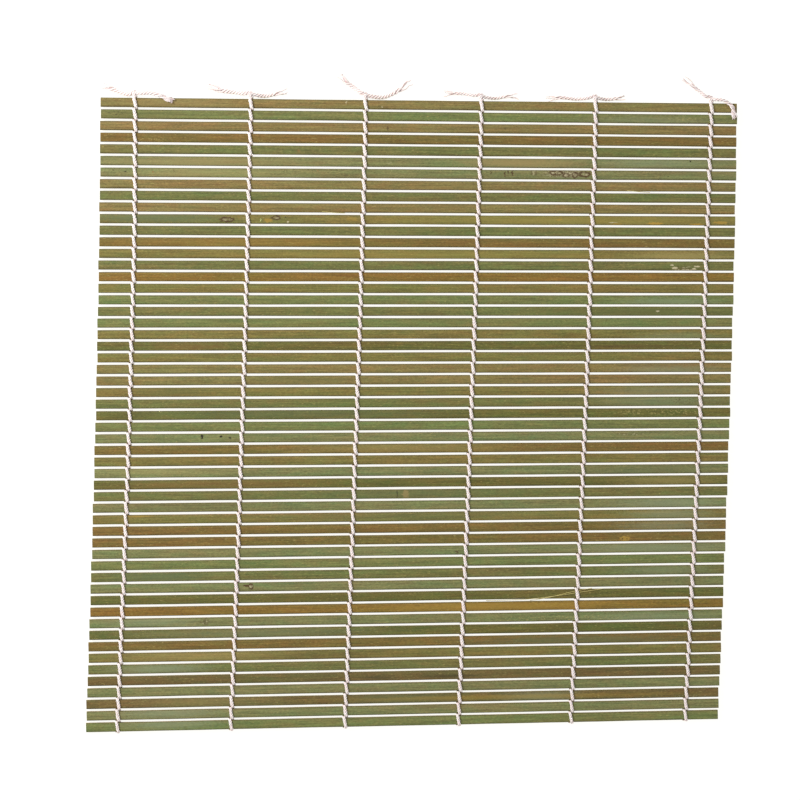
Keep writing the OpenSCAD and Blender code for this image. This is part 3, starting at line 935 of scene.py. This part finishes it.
# How far each string was pushed off its even place, in mm, at these shares of the way to the front
SWAY_SHARES = (0, 0.2, 0.55, 1)
SWAY = [
    (-0.5, 0.15, 0.25, 0.2),
    (0.1, -0.3, -0.2, 0.1),
    (0.2, -0.1, -0.2, 0.2),
    (0.7, 0.1, -0.1, 0.1),
    (0.6, 0.1, -0.1, -0.4),
    (1, 0.4, 0.1, -0.2),
]


def column_x(string, gap):
    """The middle of a string in a gap, with its sway."""
    share = min(max(gap / SLAT_COUNT, 0), 1)
    i = max(i for i in range(3) if SWAY_SHARES[i] <= share)
    part = (share - SWAY_SHARES[i]) / (SWAY_SHARES[i + 1] - SWAY_SHARES[i])
    sway = SWAY[string - 1][i] * (1 - part) + SWAY[string - 1][i + 1] * part
    return even_x(string, gap) + sway * MM


print("strings", round((column_x(2, 0) - column_x(1, 0)) / MM, 2), "mm apart")

# %% [markdown]
# ### From a slat's middle to the next slat's middle
# Seen from the side the strand lies flat on slat A, dives through the gap and lies flat under slat B.
# Its width lies across the mat all the way. It lies nearly straight over the slat, and moves to its own
# side of the string where both strands share the gap.

# %% Points of one crossing
# Each row: way from the upper slat's middle (1) over the gap (0) to the lower slat's middle (-1), the
# height, and the way to the side, both as shares, then the width and thickness of the yarn in mm
CROSSING = [
    (1, 1, 0, 1.39, 0.66),
    (0.62, 1, 0.28, 1.37, 0.66),
    (0.32, 0.99, 0.54, 1.31, 0.64),
    (0.14, 0.88, 0.72, 1.22, 0.6),
    (0.03, 0.55, 0.98, 1.16, 0.56),
    (0, 0, 1, 1.16, 0.56),
    (-0.03, -0.55, 0.98, 1.16, 0.56),
    (-0.14, -0.88, 0.72, 1.18, 0.58),
    (-0.32, -0.99, 0.5, 1.2, 0.58),
    (-0.62, -1, 0.26, 1.22, 0.58),
    (-1, -1, 0, 1.22, 0.58),
]
# How far a stitch lies off its place, and how much wider or narrower it is, at most
STITCH_STRAY = 0.13 * MM
STITCH_SPREAD = 0.1


def stray(string, slat, is_top, salt):
    """An even scatter from -1 to 1 that is the same for every piece that asks."""
    return random.Random(f"{string} {slat} {is_top} {salt}").uniform(-1, 1)


def yarn_point(place, across, run, wide, thick, loose=0.0):
    return {
        "place": Vector(place), "across": Vector(across), "run": run,
        "wide": wide, "thick": thick, "loose": loose,
    }


def crossing(string, gap, falls):
    """The strand that falls or rises through a gap, from the slat behind it to the slat before it."""
    side = STRAND_SIDE if falls else -STRAND_SIDE
    points = []
    for way, height, out, wide, thick in CROSSING:
        rise = height if falls else -height
        slat = gap if way > 0 else gap + 1
        near = abs(way)
        wander = stray(string, slat, rise > 0, "side") * STITCH_STRAY * near
        spread = 1 + stray(string, slat, rise > 0, "wide") * STITCH_SPREAD * near
        x = column_x(string, gap + 0.5 * -way) + side * out + wander
        y = gap_y(gap, x) + way * HALF_PITCH
        run = (gap - way / 2) * PASS_LENGTH
        points.append(yarn_point(
            (x, y, MIDDLE_Z + rise * PASS_HEIGHT), (1, 0, 0), run, wide * MM * spread, thick * MM,
        ))
    return points


PASS_LENGTH = 5.6 * MM

# %% [markdown]
# ### Knots and loose ends
# Behind the back slat the two strands are wound round each other in a half knot, which is a short
# double helix. The one that goes to the right leaves it low, close to the slat, and the other leaves at
# the top. The loose ends lie on the table where the photograph shows them, except two that fell on the
# back slats. At its tip a loose end has come untwisted, and those two have frayed.

# %% Points of the knots and loose ends
KNOT_TURNS = 1.25
KNOT_START = 0.15 * MM
KNOT_LENGTHS = {True: 1.3 * MM, False: 2 * MM}
KNOT_RADIUS = 0.52 * MM
KNOT_POINTS = 10
LOOSE_ON_TABLE = 0.46 * MM
LOOSE_ON_SLATS = MIDDLE_Z + SLAT_THICKNESS / 2 + 0.45 * MM
# Points of each string's left and right loose end: mm to the right and back from the gap behind the
# mat, and the share of the way up from lying on the table to lying on the slats
LOOSE_ENDS = [
    (
        [(-2.6, 1, 0.4), (-6.6, 1.9, 0), (-10, 3.4, 0), (-12.9, 4.4, 0)],
        [(2.2, 1.2, 0.95), (5.2, 1.3, 1), (9, 0.4, 1), (13.3, -1.5, 1)],
    ),
    (
        [(-2.4, 1.7, 0.4), (-6, 2.2, 0), (-11.4, 2.9, 0), (-16.1, 4.8, 0)],
        [(2.4, 1, 0.4), (5.6, 0.8, 0), (9.6, 1.6, 0), (13.7, 2.4, 0)],
    ),
    (
        [(-1.7, 2.3, 0.45), (-4.4, 4.4, 0), (-7.2, 6.4, 0), (-9.4, 9.3, 0)],
        [(2.4, 1, 0.4), (7, 0.8, 0), (12.4, 3.2, 0), (17.3, 6.6, 0)],
    ),
    (
        [(-2.2, 1.8, 0.4), (-5.6, 2.4, 0), (-9.6, 2.6, 0), (-13.3, 2.5, 0)],
        [(2.6, 1, 0.4), (6.4, 0.8, 0), (10.2, 1.5, 0), (14.5, 1.6, 0)],
    ),
    (
        [(-2.4, 1.2, 0.4), (-7, 0.9, 0), (-13, 1.5, 0), (-18, 0.9, 0)],
        [(2.4, 1, 0.4), (5, 0.8, 0), (8.4, 1.1, 0), (11.7, 1.5, 0)],
    ),
    (
        [(-1.4, 2.4, 0.45), (-3.4, 4.2, 0), (-5.7, 6, 0), (-9.4, 9.3, 0)],
        [(2.4, 1, 0.9), (5.6, 0.6, 1), (8.6, -1.6, 1), (9.6, -5.8, 1)],
    ),
]
# How loose the twist is at the four points of an end, from 0 to 1
UNTWISTED = (0, 0, 0.12, 1)
FRAYED = (0, 0, 0.2, 0.6)
FRAYED_ENDS = [(1, True), (STRING_COUNT, True)]
KNOT_SIZE = (1.26 * MM, 0.84 * MM)
END_SIZE = (1.4 * MM, 0.86 * MM)
# Each string's left and right loose end, as shares of that width
END_SHARES = [(1.25, 1), (1.2, 1.1), (1.2, 1.15), (0.85, 0.9), (0.9, 0.95), (1, 0.9)]


def with_flat_sides(rows, run):
    """Yarn points from rows of place, size and looseness. Each lies with its flat side up."""
    points = []
    for i, (place, size, loose) in enumerate(rows):
        way = rows[min(i + 1, len(rows) - 1)][0] - rows[max(i - 1, 0)][0]
        if i > 0:
            run -= (place - rows[i - 1][0]).length * max(0.1, 1 - loose)
        across = way.cross(Vector((0, 0, 1)))
        if points and across.dot(points[-1]["across"]) < 0:
            across = -across
        points.append(yarn_point(place, across.normalized(), run, size[0], size[1], loose))
    return points


def knot_strand(string, starts_above):
    """One strand from the middle of the back slat through the knot to its loose end."""
    middle = Vector((column_x(string, 0), gap_y(0, column_x(string, 0)), MIDDLE_Z))
    sign = 1 if starts_above else -1
    rows = []
    for way, height, out, wide, thick in CROSSING[:3]:
        start = Vector((-sign * out * STRAND_SIDE, -way * HALF_PITCH, sign * height * PASS_HEIGHT))
        wander = stray(string, 1, starts_above, "side") * STITCH_STRAY * way
        rows.append((middle + start + Vector((wander, 0, 0)), (wide * MM, thick * MM), 0))
    for step in range(KNOT_POINTS):
        share = step / (KNOT_POINTS - 1)
        angle = math.radians(130 - share * 360 * KNOT_TURNS)
        turn = Vector((
            sign * math.cos(angle) * KNOT_RADIUS,
            KNOT_START + share * KNOT_LENGTHS[starts_above],
            sign * math.sin(angle) * KNOT_RADIUS,
        ))
        rows.append((middle + turn, KNOT_SIZE, 0))
    base_x = even_x(string, 0)
    looseness = FRAYED if (string, starts_above) in FRAYED_ENDS else UNTWISTED
    end_size = (END_SIZE[0] * END_SHARES[string - 1][starts_above], END_SIZE[1])
    for (right, back, height), loose in zip(LOOSE_ENDS[string - 1][starts_above], looseness):
        z = LOOSE_ON_TABLE + height * (LOOSE_ON_SLATS - LOOSE_ON_TABLE)
        rows.append((Vector((base_x + right * MM, middle.y + back * MM, z)), end_size, loose))
    return with_flat_sides(rows, PASS_LENGTH / 2)


# %% [markdown]
# ### Frayed tufts
# Where an end has frayed, its plies have come apart into soft fibres. They spread from where the twist
# ends and lie about the tip, each on its own way.

# %% Points of the frayed tufts
TUFT_STRANDS = 16


def frayed_tuft(string, is_right):
    """Single soft plies that spread from a frayed end's third point to about its tip."""
    rows = knot_strand(string, is_right)
    start, end = rows[-2]["place"], rows[-1]["place"]
    before = (start - rows[-3]["place"]).normalized()
    strands = []
    for number in range(TUFT_STRANDS):
        chance = random.Random(f"tuft {string} {number}")
        reach = chance.uniform(0.55, 1.12)
        aside = Vector((chance.uniform(-1, 1), chance.uniform(-1, 1), 0)) * MM
        places = [
            start - before * 0.9 * MM + aside * 0.1,
            start + aside * 0.35,
            start.lerp(end, reach * 0.5) + before * 0.5 * MM + aside * 0.55,
            start.lerp(end, reach * 0.8) + before * 0.25 * MM + aside * 0.75,
            start.lerp(end, reach) + aside * 0.95,
        ]
        size = chance.uniform(0.45, 0.8) * MM
        lifted = [place + Vector((0, 0, chance.uniform(-0.15, 0.3) * MM)) for place in places]
        strands.append(with_flat_sides([(place, (size, size * 0.8), 0) for place in lifted], 0))
    return strands


# %% [markdown]
# ### The fold round the front slat
# At the front the string turns back: it comes over the last slat, goes down its front edge and under
# the slat, from its right side to its left.

# %% Points of the front folds
FOLD_POINTS = 7


def front_fold(string):
    """The string from the top of the front slat's middle round its edge to the underside's middle."""
    middle = Vector((column_x(string, SLAT_COUNT), gap_y(SLAT_COUNT, column_x(string, SLAT_COUNT)), MIDDLE_Z))
    points = []
    rows = [(way, height, out, wide, thick) for way, height, out, wide, thick in CROSSING[:3]]
    edge_y = HALF_PITCH * 0.17
    over = [(way * HALF_PITCH, height * PASS_HEIGHT, out * STRAND_SIDE) for way, height, out, _, _ in rows]
    turn = [
        (
            edge_y - math.sin(math.pi * step / (FOLD_POINTS + 1)) * 0.3 * MM,
            PASS_HEIGHT * math.cos(math.pi * step / (FOLD_POINTS + 1)),
            STRAND_SIDE * 0.8 * math.cos(math.pi * step / (FOLD_POINTS + 1)),
        )
        for step in range(1, FOLD_POINTS + 1)
    ]
    under = [(y, -z, -x) for y, z, x in reversed(over)]
    run = SLAT_COUNT * PASS_LENGTH
    last = None
    for i, (y, z, x) in enumerate(over + turn + under):
        is_end = i in (0, len(over + turn + under) - 1)
        wander = stray(string, SLAT_COUNT, z > 0, "side") * STITCH_STRAY if is_end else 0
        place = middle + Vector((x + wander, y, z))
        if last is not None:
            run += (place - last).length
        last = place
        points.append(yarn_point(place, (1, 0, 0), run, 1.2 * MM, 0.58 * MM))
    return points


# %% [markdown]
# ## Twisted yarn
# The string is cotton, three plies twisted together once in about 3.6 mm. It is made as it is spun:
# the strand's line is copied once for each ply, the copies are wound round it like a helix, and each
# becomes a thin round tube. Then the whole bundle is pressed to the width and thickness that the
# points carry. Near a loose tip the plies stand apart, and short fibres stick out everywhere, most of
# them there. All of this is one tree, which makes every piece of string on the mat.

# %% A tree for the yarn
YARN_DIAMETER = 1 * MM


def named(tree, name, data_type="FLOAT"):
    return add(tree, "GeometryNodeInputNamedAttribute", {"Name": name}, data_type=data_type)


def store(tree, geometry, name, value, data_type="FLOAT_VECTOR"):
    return add(tree, "GeometryNodeStoreNamedAttribute", {
        "Geometry": geometry,
        "Name": name,
        "Value": value,
    }, data_type=data_type, domain="POINT")


def vector_math(tree, operation, a, b=None):
    inputs = {0: a} if b is None else {0: a, 1: b}
    return add(tree, "ShaderNodeVectorMath", inputs, operation=operation)


def scaled(tree, vector, amount):
    return add(tree, "ShaderNodeVectorMath", {0: vector, "Scale": amount}, operation="SCALE")


def above_table(tree, geometry):
    """Lifts whatever would reach under the table."""
    place = add(tree, "ShaderNodeSeparateXYZ", {0: add(tree, "GeometryNodeInputPosition")})
    return add(tree, "GeometryNodeSetPosition", {
        "Geometry": geometry,
        "Position": add(tree, "ShaderNodeCombineXYZ", {
            "X": place.outputs["X"],
            "Y": place.outputs["Y"],
            "Z": add(tree, "ShaderNodeMath", {0: place.outputs["Z"], 1: 0.02 * MM}, operation="MAXIMUM"),
        }),
    })


def yarn_tree():
    tree, source = new_tree(
        "twisted_yarn", "GeometryNodeTree",
        plies="int", lay="float", step="float", sides="int", fibres_per_area="float",
        fibre_length="float", fibre_radius="float", seed="int", material="material",
    )
    give = source.outputs
    line = add(tree, "GeometryNodeMeshToCurve", {"Mesh": give["Geometry"]})
    line = add(tree, "GeometryNodeCurveSplineType", {"Curve": line}, spline_type="CATMULL_ROM")
    line = add(tree, "GeometryNodeResampleCurve", {"Curve": line}, mode="LENGTH")
    tree.links.new(give["Step"], line.inputs["Length"])

    # The directions along, across and out of the yarn's flat side
    tangent = add(tree, "GeometryNodeInputTangent")
    across = named(tree, "across", "FLOAT_VECTOR")
    lean = vector_math(tree, "DOT_PRODUCT", across, tangent).outputs["Value"]
    square = vector_math(tree, "SUBTRACT", across, scaled(tree, tangent, lean))
    line = store(tree, line, "flat_way", vector_math(tree, "NORMALIZE", square))
    line = store(tree, line, "long_way", tangent)
    line = store(tree, line, "strand_middle", add(tree, "GeometryNodeInputPosition"))
    flat_way = named(tree, "flat_way", "FLOAT_VECTOR")
    long_way = named(tree, "long_way", "FLOAT_VECTOR")
    out_way = vector_math(tree, "CROSS_PRODUCT", flat_way, long_way)
    loose = named(tree, "loose")

    # Three plies of equal size that touch each other fill a round yarn
    copies = add(tree, "GeometryNodeDuplicateElements", {
        "Geometry": line,
        "Amount": give["Plies"],
    }, domain="SPLINE")
    turn = add(tree, "ShaderNodeMath", {
        0: add(tree, "ShaderNodeMath", {
            0: copies.outputs["Duplicate Index"],
            1: give["Plies"],
        }, operation="DIVIDE"),
        1: add(tree, "ShaderNodeMath", {0: named(tree, "run"), 1: give["Lay"]}, operation="DIVIDE"),
    }, operation="SUBTRACT")
    angle = times(tree, turn, 2 * math.pi)
    cosine = add(tree, "ShaderNodeMath", {0: angle}, operation="COSINE")
    sine = add(tree, "ShaderNodeMath", {0: angle}, operation="SINE")
    ply_radius = YARN_DIAMETER / 2 / (1 + 2 / math.sqrt(3))
    ply_offset = add(tree, "ShaderNodeMapRange", {
        "Value": loose,
        "To Min": ply_radius * 2 / math.sqrt(3),
        "To Max": 0.85 * MM,
    }, clamp=False)
    # A loose ply sinks to the table instead of standing up, and goes its own way
    lift = add(tree, "ShaderNodeMapRange", {"Value": loose, "To Min": 1, "To Max": 0.25})
    own_way = add(tree, "ShaderNodeTexNoise", {
        "Vector": vector_math(
            tree, "ADD",
            scaled(tree, add(tree, "GeometryNodeInputPosition"), 0.3 / MM),
            scaled(tree, (3.1, 5.7, 1.3), copies.outputs["Duplicate Index"]),
        ),
        "Scale": 1,
    })
    own_way = vector_math(tree, "SUBTRACT", own_way.outputs["Color"], (0.5, 0.5, 0.5))
    own_way = vector_math(tree, "MULTIPLY", own_way, (1, 1, 0.2))
    plies = add(tree, "GeometryNodeSetPosition", {
        "Geometry": copies,
        "Offset": vector_math(
            tree, "ADD",
            vector_math(
                tree, "ADD",
                scaled(tree, flat_way, times(tree, cosine, ply_offset)),
                scaled(tree, out_way, times(tree, times(tree, sine, ply_offset), lift)),
            ),
            scaled(tree, own_way, times(tree, loose, 2.4 * MM)),
        ),
    })
    plies = store(tree, plies, "ply_number", copies.outputs["Duplicate Index"], "FLOAT")
    round_section = add(tree, "GeometryNodeCurvePrimitiveCircle", {
        "Resolution": give["Sides"],
        "Radius": ply_radius * 1.08,
    })
    around = add(tree, "GeometryNodeSplineParameter")
    round_section = store(tree, round_section.outputs["Curve"], "ply_angle", around.outputs["Factor"], "FLOAT")
    tubes = add(tree, "GeometryNodeCurveToMesh", {
        "Curve": plies,
        "Profile Curve": round_section,
        "Scale": add(tree, "ShaderNodeMapRange", {"Value": loose, "To Min": 1, "To Max": 0.55}),
        "Fill Caps": True,
    })

    # Pressing: what lies across is widened, and what stands out is flattened
    beside = vector_math(tree, "SUBTRACT", add(tree, "GeometryNodeInputPosition"),
                         named(tree, "strand_middle", "FLOAT_VECTOR"))
    from_middle = vector_math(tree, "LENGTH", beside).outputs["Value"]
    # How far out from the strand's middle each point lies, which the cotton reads to paint shade into the
    # furrows
    tubes = store(tree, tubes, "crown", times(tree, from_middle, 2 / YARN_DIAMETER), "FLOAT")
    shares = []
    for way, size in ((flat_way, named(tree, "wide")), (out_way, named(tree, "thick"))):
        amount = vector_math(tree, "DOT_PRODUCT", beside, way).outputs["Value"]
        growth = add(tree, "ShaderNodeMath", {0: size, 1: YARN_DIAMETER}, operation="DIVIDE")
        change = add(tree, "ShaderNodeMath", {0: growth, 1: 1}, operation="SUBTRACT")
        shares.append(scaled(tree, way, times(tree, amount, change)))
    tubes = add(tree, "GeometryNodeSetPosition", {
        "Geometry": tubes,
        "Offset": vector_math(tree, "ADD", shares[0], shares[1]),
    })
    tubes = above_table(tree, tubes)
    tubes = store(tree, tubes, "yarn_place", add(tree, "ShaderNodeCombineXYZ", {
        "X": times(tree, named(tree, "run"), 1 / MM),
        "Y": named(tree, "ply_angle"),
        "Z": named(tree, "ply_number"),
    }))
    tubes = add(tree, "GeometryNodeSetShadeSmooth", {"Geometry": tubes, "Shade Smooth": True})

    # Fibres stand on the tubes, leaning every way, with more of them where the yarn is loose
    density = add(tree, "ShaderNodeMath", {
        0: loose,
        1: 5.0,
        2: 1.0,
    }, operation="MULTIPLY_ADD")
    roots = add(tree, "GeometryNodeDistributePointsOnFaces", {
        "Mesh": tubes,
        "Density": times(tree, density, give["Fibres per area"]),
        "Seed": give["Seed"],
    }, distribute_method="RANDOM")
    lean_way = add(tree, "FunctionNodeRandomValue", {
        "Seed": give["Seed"],
    }, data_type="FLOAT_VECTOR")
    socket(lean_way.inputs, "Min").default_value = (-1, -1, -0.4)
    socket(lean_way.inputs, "Max").default_value = (1, 1, 1)
    stand = vector_math(tree, "ADD", roots.outputs["Normal"], lean_way)
    size = add(tree, "FunctionNodeRandomValue", {"Seed": 7}, data_type="FLOAT")
    socket(size.inputs, "Min").default_value = 0.35
    fibre = add(tree, "GeometryNodeCurvePrimitiveLine")
    reach = add(tree, "ShaderNodeCombineXYZ", {"Z": give["Fibre length"]})
    tree.links.new(reach.outputs[0], fibre.inputs["End"])
    fibre = add(tree, "GeometryNodeResampleCurve", {"Curve": fibre, "Count": 4}, mode="COUNT")
    placed = add(tree, "GeometryNodeInstanceOnPoints", {
        "Points": roots.outputs["Points"],
        "Instance": fibre,
        "Rotation": add(tree, "FunctionNodeAlignRotationToVector", {"Vector": stand}, axis="Z"),
        "Scale": size,
    })
    placed = add(tree, "GeometryNodeRealizeInstances", {"Geometry": placed})
    curl = add(tree, "ShaderNodeTexNoise", {
        "Vector": scaled(tree, add(tree, "GeometryNodeInputPosition"), 1 / MM),
        "Scale": 1.6,
    })
    curl = vector_math(tree, "SUBTRACT", curl.outputs["Color"], (0.5, 0.5, 0.5))
    tip = add(tree, "GeometryNodeSplineParameter").outputs["Factor"]
    placed = add(tree, "GeometryNodeSetPosition", {
        "Geometry": placed,
        "Offset": scaled(tree, curl, times(tree, tip, 0.5 * MM)),
    })
    placed = above_table(tree, placed)
    hair = add(tree, "GeometryNodeCurvePrimitiveCircle", {"Resolution": 3, "Radius": give["Fibre radius"]})
    hairs = add(tree, "GeometryNodeCurveToMesh", {
        "Curve": placed,
        "Profile Curve": hair.outputs["Curve"],
        "Scale": add(tree, "ShaderNodeMapRange", {"Value": tip, "To Min": 1, "To Max": 0.4}),
        "Fill Caps": True,
    })
    whole = add(tree, "GeometryNodeJoinGeometry", {"Geometry": tubes})
    tree.links.new(hairs.outputs[0], whole.inputs[0])
    whole = add(tree, "GeometryNodeRealizeInstances", {"Geometry": whole})
    whole = add(tree, "GeometryNodeSetMaterial", {"Geometry": whole, "Material": give["Material"]})
    add(tree, "NodeGroupOutput", {"Geometry": whole})
    return tree


YARN_TREE = yarn_tree()

# %% [markdown]
# ### Cotton
# Spun cotton is matt and slightly hairy, nearly white with a rosy tinge. Its fine fibres run along each
# ply. The furrows between the plies are painted rosier and darker as shade, most of all where the yarn
# is thick, in the knots and loose ends. Light goes some way into the fibres, so the shaded side of a
# strand stays bright.

# %% Cotton material
def spun_cotton():
    material = bpy.data.materials.new("spun_cotton")
    material.use_nodes = True
    tree = material.node_tree
    shader = tree.nodes["Principled BSDF"]
    place = add(tree, "ShaderNodeAttribute", attribute_name="yarn_place").outputs["Vector"]
    crown = add(tree, "ShaderNodeAttribute", attribute_name="crown").outputs["Fac"]
    fibre_place = vector_math(tree, "MULTIPLY", place, (0.9, 7, 4.3))
    fibres = add(tree, "ShaderNodeTexNoise", {"Vector": fibre_place, "Scale": 1, "Detail": 2})
    colour = blend_colour(tree, between(tree, fibres, 0.3, 0.7), linear("#f8e9e4"), linear("#fdf2ed"))
    slow = add(tree, "ShaderNodeTexNoise", {
        "Vector": vector_math(tree, "MULTIPLY", place, (0.16, 0.4, 0)),
        "Scale": 1,
    })
    colour = blend_colour(tree, between(tree, slow, 0.4, 0.65, 0, 0.5), colour, linear("#f3ddda"))
    # Painted shade: the furrows between the plies, where the surface lies close to the strand's middle, darken
    # towards a dusky rose, more so where the yarn is thick
    shade_depth = between(tree, add(tree, "ShaderNodeAttribute", attribute_name="thick").outputs["Fac"],
                   0.66 * MM, 0.8 * MM, 0.52, 0.85)
    furrow_shade = times(tree, between(tree, crown, 0.92, 0.6, 0, 0.9), shade_depth)
    colour = blend_colour(tree, furrow_shade, colour, linear("#c6a9a9"))
    tree.links.new(socket(colour.outputs, "Result"), shader.inputs["Base Color"])
    shader.inputs["Roughness"].default_value = 0.9
    shader.inputs["Sheen Weight"].default_value = 0.2
    shader.inputs["Sheen Roughness"].default_value = 0.6
    shader.inputs["Subsurface Weight"].default_value = 0.3
    shader.inputs["Subsurface Radius"].default_value = (1, 0.8, 0.7)
    shader.inputs["Subsurface Scale"].default_value = 0.4 * MM
    bump = add(tree, "ShaderNodeBump", {"Height": fibres, "Strength": 0.4, "Distance": 0.03 * MM})
    tree.links.new(bump.outputs["Normal"], shader.inputs["Normal"])
    return material


COTTON = spun_cotton()

# %% Make the pieces of string
def strand_mesh(name, strands):
    """A mesh of plain lines whose points carry what the yarn tree reads."""
    points = [point for strand in strands for point in strand]
    edges = []
    start = 0
    for strand in strands:
        edges += [(start + i, start + i + 1) for i in range(len(strand) - 1)]
        start += len(strand)
    mesh = bpy.data.meshes.new(name)
    mesh.from_pydata([point["place"] for point in points], edges, [])
    direction = mesh.attributes.new("across", "FLOAT_VECTOR", "POINT")
    direction.data.foreach_set("vector", [c for point in points for c in point["across"]])
    for label in ("run", "wide", "thick", "loose"):
        attribute = mesh.attributes.new(label, "FLOAT", "POINT")
        attribute.data.foreach_set("value", [point[label] for point in points])
    return mesh


def spin(name, strands, seed, plies=3):
    """Spins yarn along some strands as one piece that stands for the frame's strings."""
    piece = grow(
        name, YARN_TREE, strand_mesh(name, strands),
        plies=plies, lay=3.6 * MM, step=0.4 * MM, sides=8, fibres_per_area=0.35 / MM ** 2,
        fibre_length=0.8 * MM, fibre_radius=0.016 * MM, seed=seed, material=COTTON,
    )
    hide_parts(*STRING_NODES)
    return piece


def bend_across(piece, gap):
    """Bakes a piece's place into its mesh. The piece is not tied to the slats beside the gap."""
    middle = Vector((0, gap_y(gap, 0), MIDDLE_Z))
    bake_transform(piece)


STRINGS = range(1, STRING_COUNT + 1)
triangles = 0
for gap in range(1, SLAT_COUNT):
    strands = [crossing(string, gap, falls) for string in STRINGS for falls in (True, False)]
    piece = spin(f"twining_{gap:02}_{gap + 1:02}", strands, gap)
    triangles += sum(len(face.vertices) - 2 for face in piece.data.polygons)
    bend_across(piece, gap)
# One loose end fell over the corner of the first two slats
fallen = (STRING_COUNT, True)
tied = [(string, above) for string in STRINGS for above in (True, False) if (string, above) != fallen]
knots = spin("knots", [knot_strand(*strand) for strand in tied], 101)
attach(knots, SLAT_NODES[0])
bend_across(spin("fallen_loose_end", [knot_strand(*fallen)], 103), 1)
bend_across(spin("fallen_tuft", frayed_tuft(*fallen), 104, plies=1), 1)
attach(spin("frayed_tuft", frayed_tuft(*FRAYED_ENDS[0]), 105, plies=1), SLAT_NODES[0])
folds = spin("front_folds", [front_fold(string) for string in STRINGS], 102)
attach(folds, SLAT_NODES[-1])
print("spun", triangles, "triangles of yarn in the gaps")

# %% [markdown]
# ## Loose splinters
# Here and there a long fibre has split off a slat's front edge. Two of them lie over slat 44, under the
# fifth string, and two short ones reach into a gap. Each is a thin round curve, glossy and golden.

# %% Bare fibre
def bare_fibre():
    """A single fibre of bamboo, glossy and golden."""
    material = bpy.data.materials.new("bamboo_fibre")
    material.use_nodes = True
    tree = material.node_tree
    place = add(tree, "ShaderNodeTexCoord").outputs["Object"]
    noise = add(tree, "ShaderNodeTexNoise", {"Vector": place, "Scale": 300})
    colour = blend_colour(tree, noise, linear("#b3a347"), linear("#d8cd92"))
    shader = tree.nodes["Principled BSDF"]
    tree.links.new(socket(colour.outputs, "Result"), shader.inputs["Base Color"])
    shader.inputs["Roughness"].default_value = 0.45
    return material


# %% Splinters
# Each fibre's points: its place in the photograph and its height in mm, by slat
SPLINTERS = {
    8: [[(627, 190.6, 2.1), (640, 191.9, 2.15), (646, 192.2, 2.1), (650, 192.4, 2)]],
    10: [[(322, 211.6, 2.1), (331, 212.5, 2.15), (337, 212.9, 2.1), (345, 213.1, 2)]],
    44: [
        [(486, 600.6, 1.4), (512, 600, 1.7), (536, 599.2, 2.1), (560, 595.4, 2.2), (603, 588.6, 2.16)],
        [(530, 600.3, 1.5), (545, 598.6, 2.15), (562, 594.2, 2.2), (577, 590.4, 2.17), (592, 588.2, 2.15)],
    ],
}
SPLINTER_RADIUS = 0.1 * MM
FIBRE = bare_fibre()


def splinter_mesh(splinters):
    """The mesh of some thin round curves."""
    curve = bpy.data.curves.new("splinter", "CURVE")
    curve.dimensions = "3D"
    for rows in splinters:
        spline = curve.splines.new("NURBS")
        spline.points.add(len(rows) - 1)
        for point, (px, py, height) in zip(spline.points, rows):
            point.co = (*seen_at(px, py, height * MM), 1)
        spline.use_endpoint_u = True
    curve.bevel_depth = SPLINTER_RADIUS
    curve.bevel_resolution = 1
    curve.use_fill_caps = True
    drawn = bpy.data.objects.new("drawn_splinter", curve)
    bpy.context.scene.collection.objects.link(drawn)
    mesh = bpy.data.meshes.new_from_object(drawn.evaluated_get(bpy.context.evaluated_depsgraph_get()))
    bpy.data.objects.remove(drawn)
    return mesh


for number, splinters in SPLINTERS.items():
    piece = bpy.data.objects.new(f"loose_splinter_{number:02}", splinter_mesh(splinters))
    bpy.context.scene.collection.objects.link(piece)
    piece.data.materials.clear()
    piece.data.materials.append(FIBRE)
    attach(piece, SLAT_NODES[number - 1])
print("laid splinters on slats", *SPLINTERS)
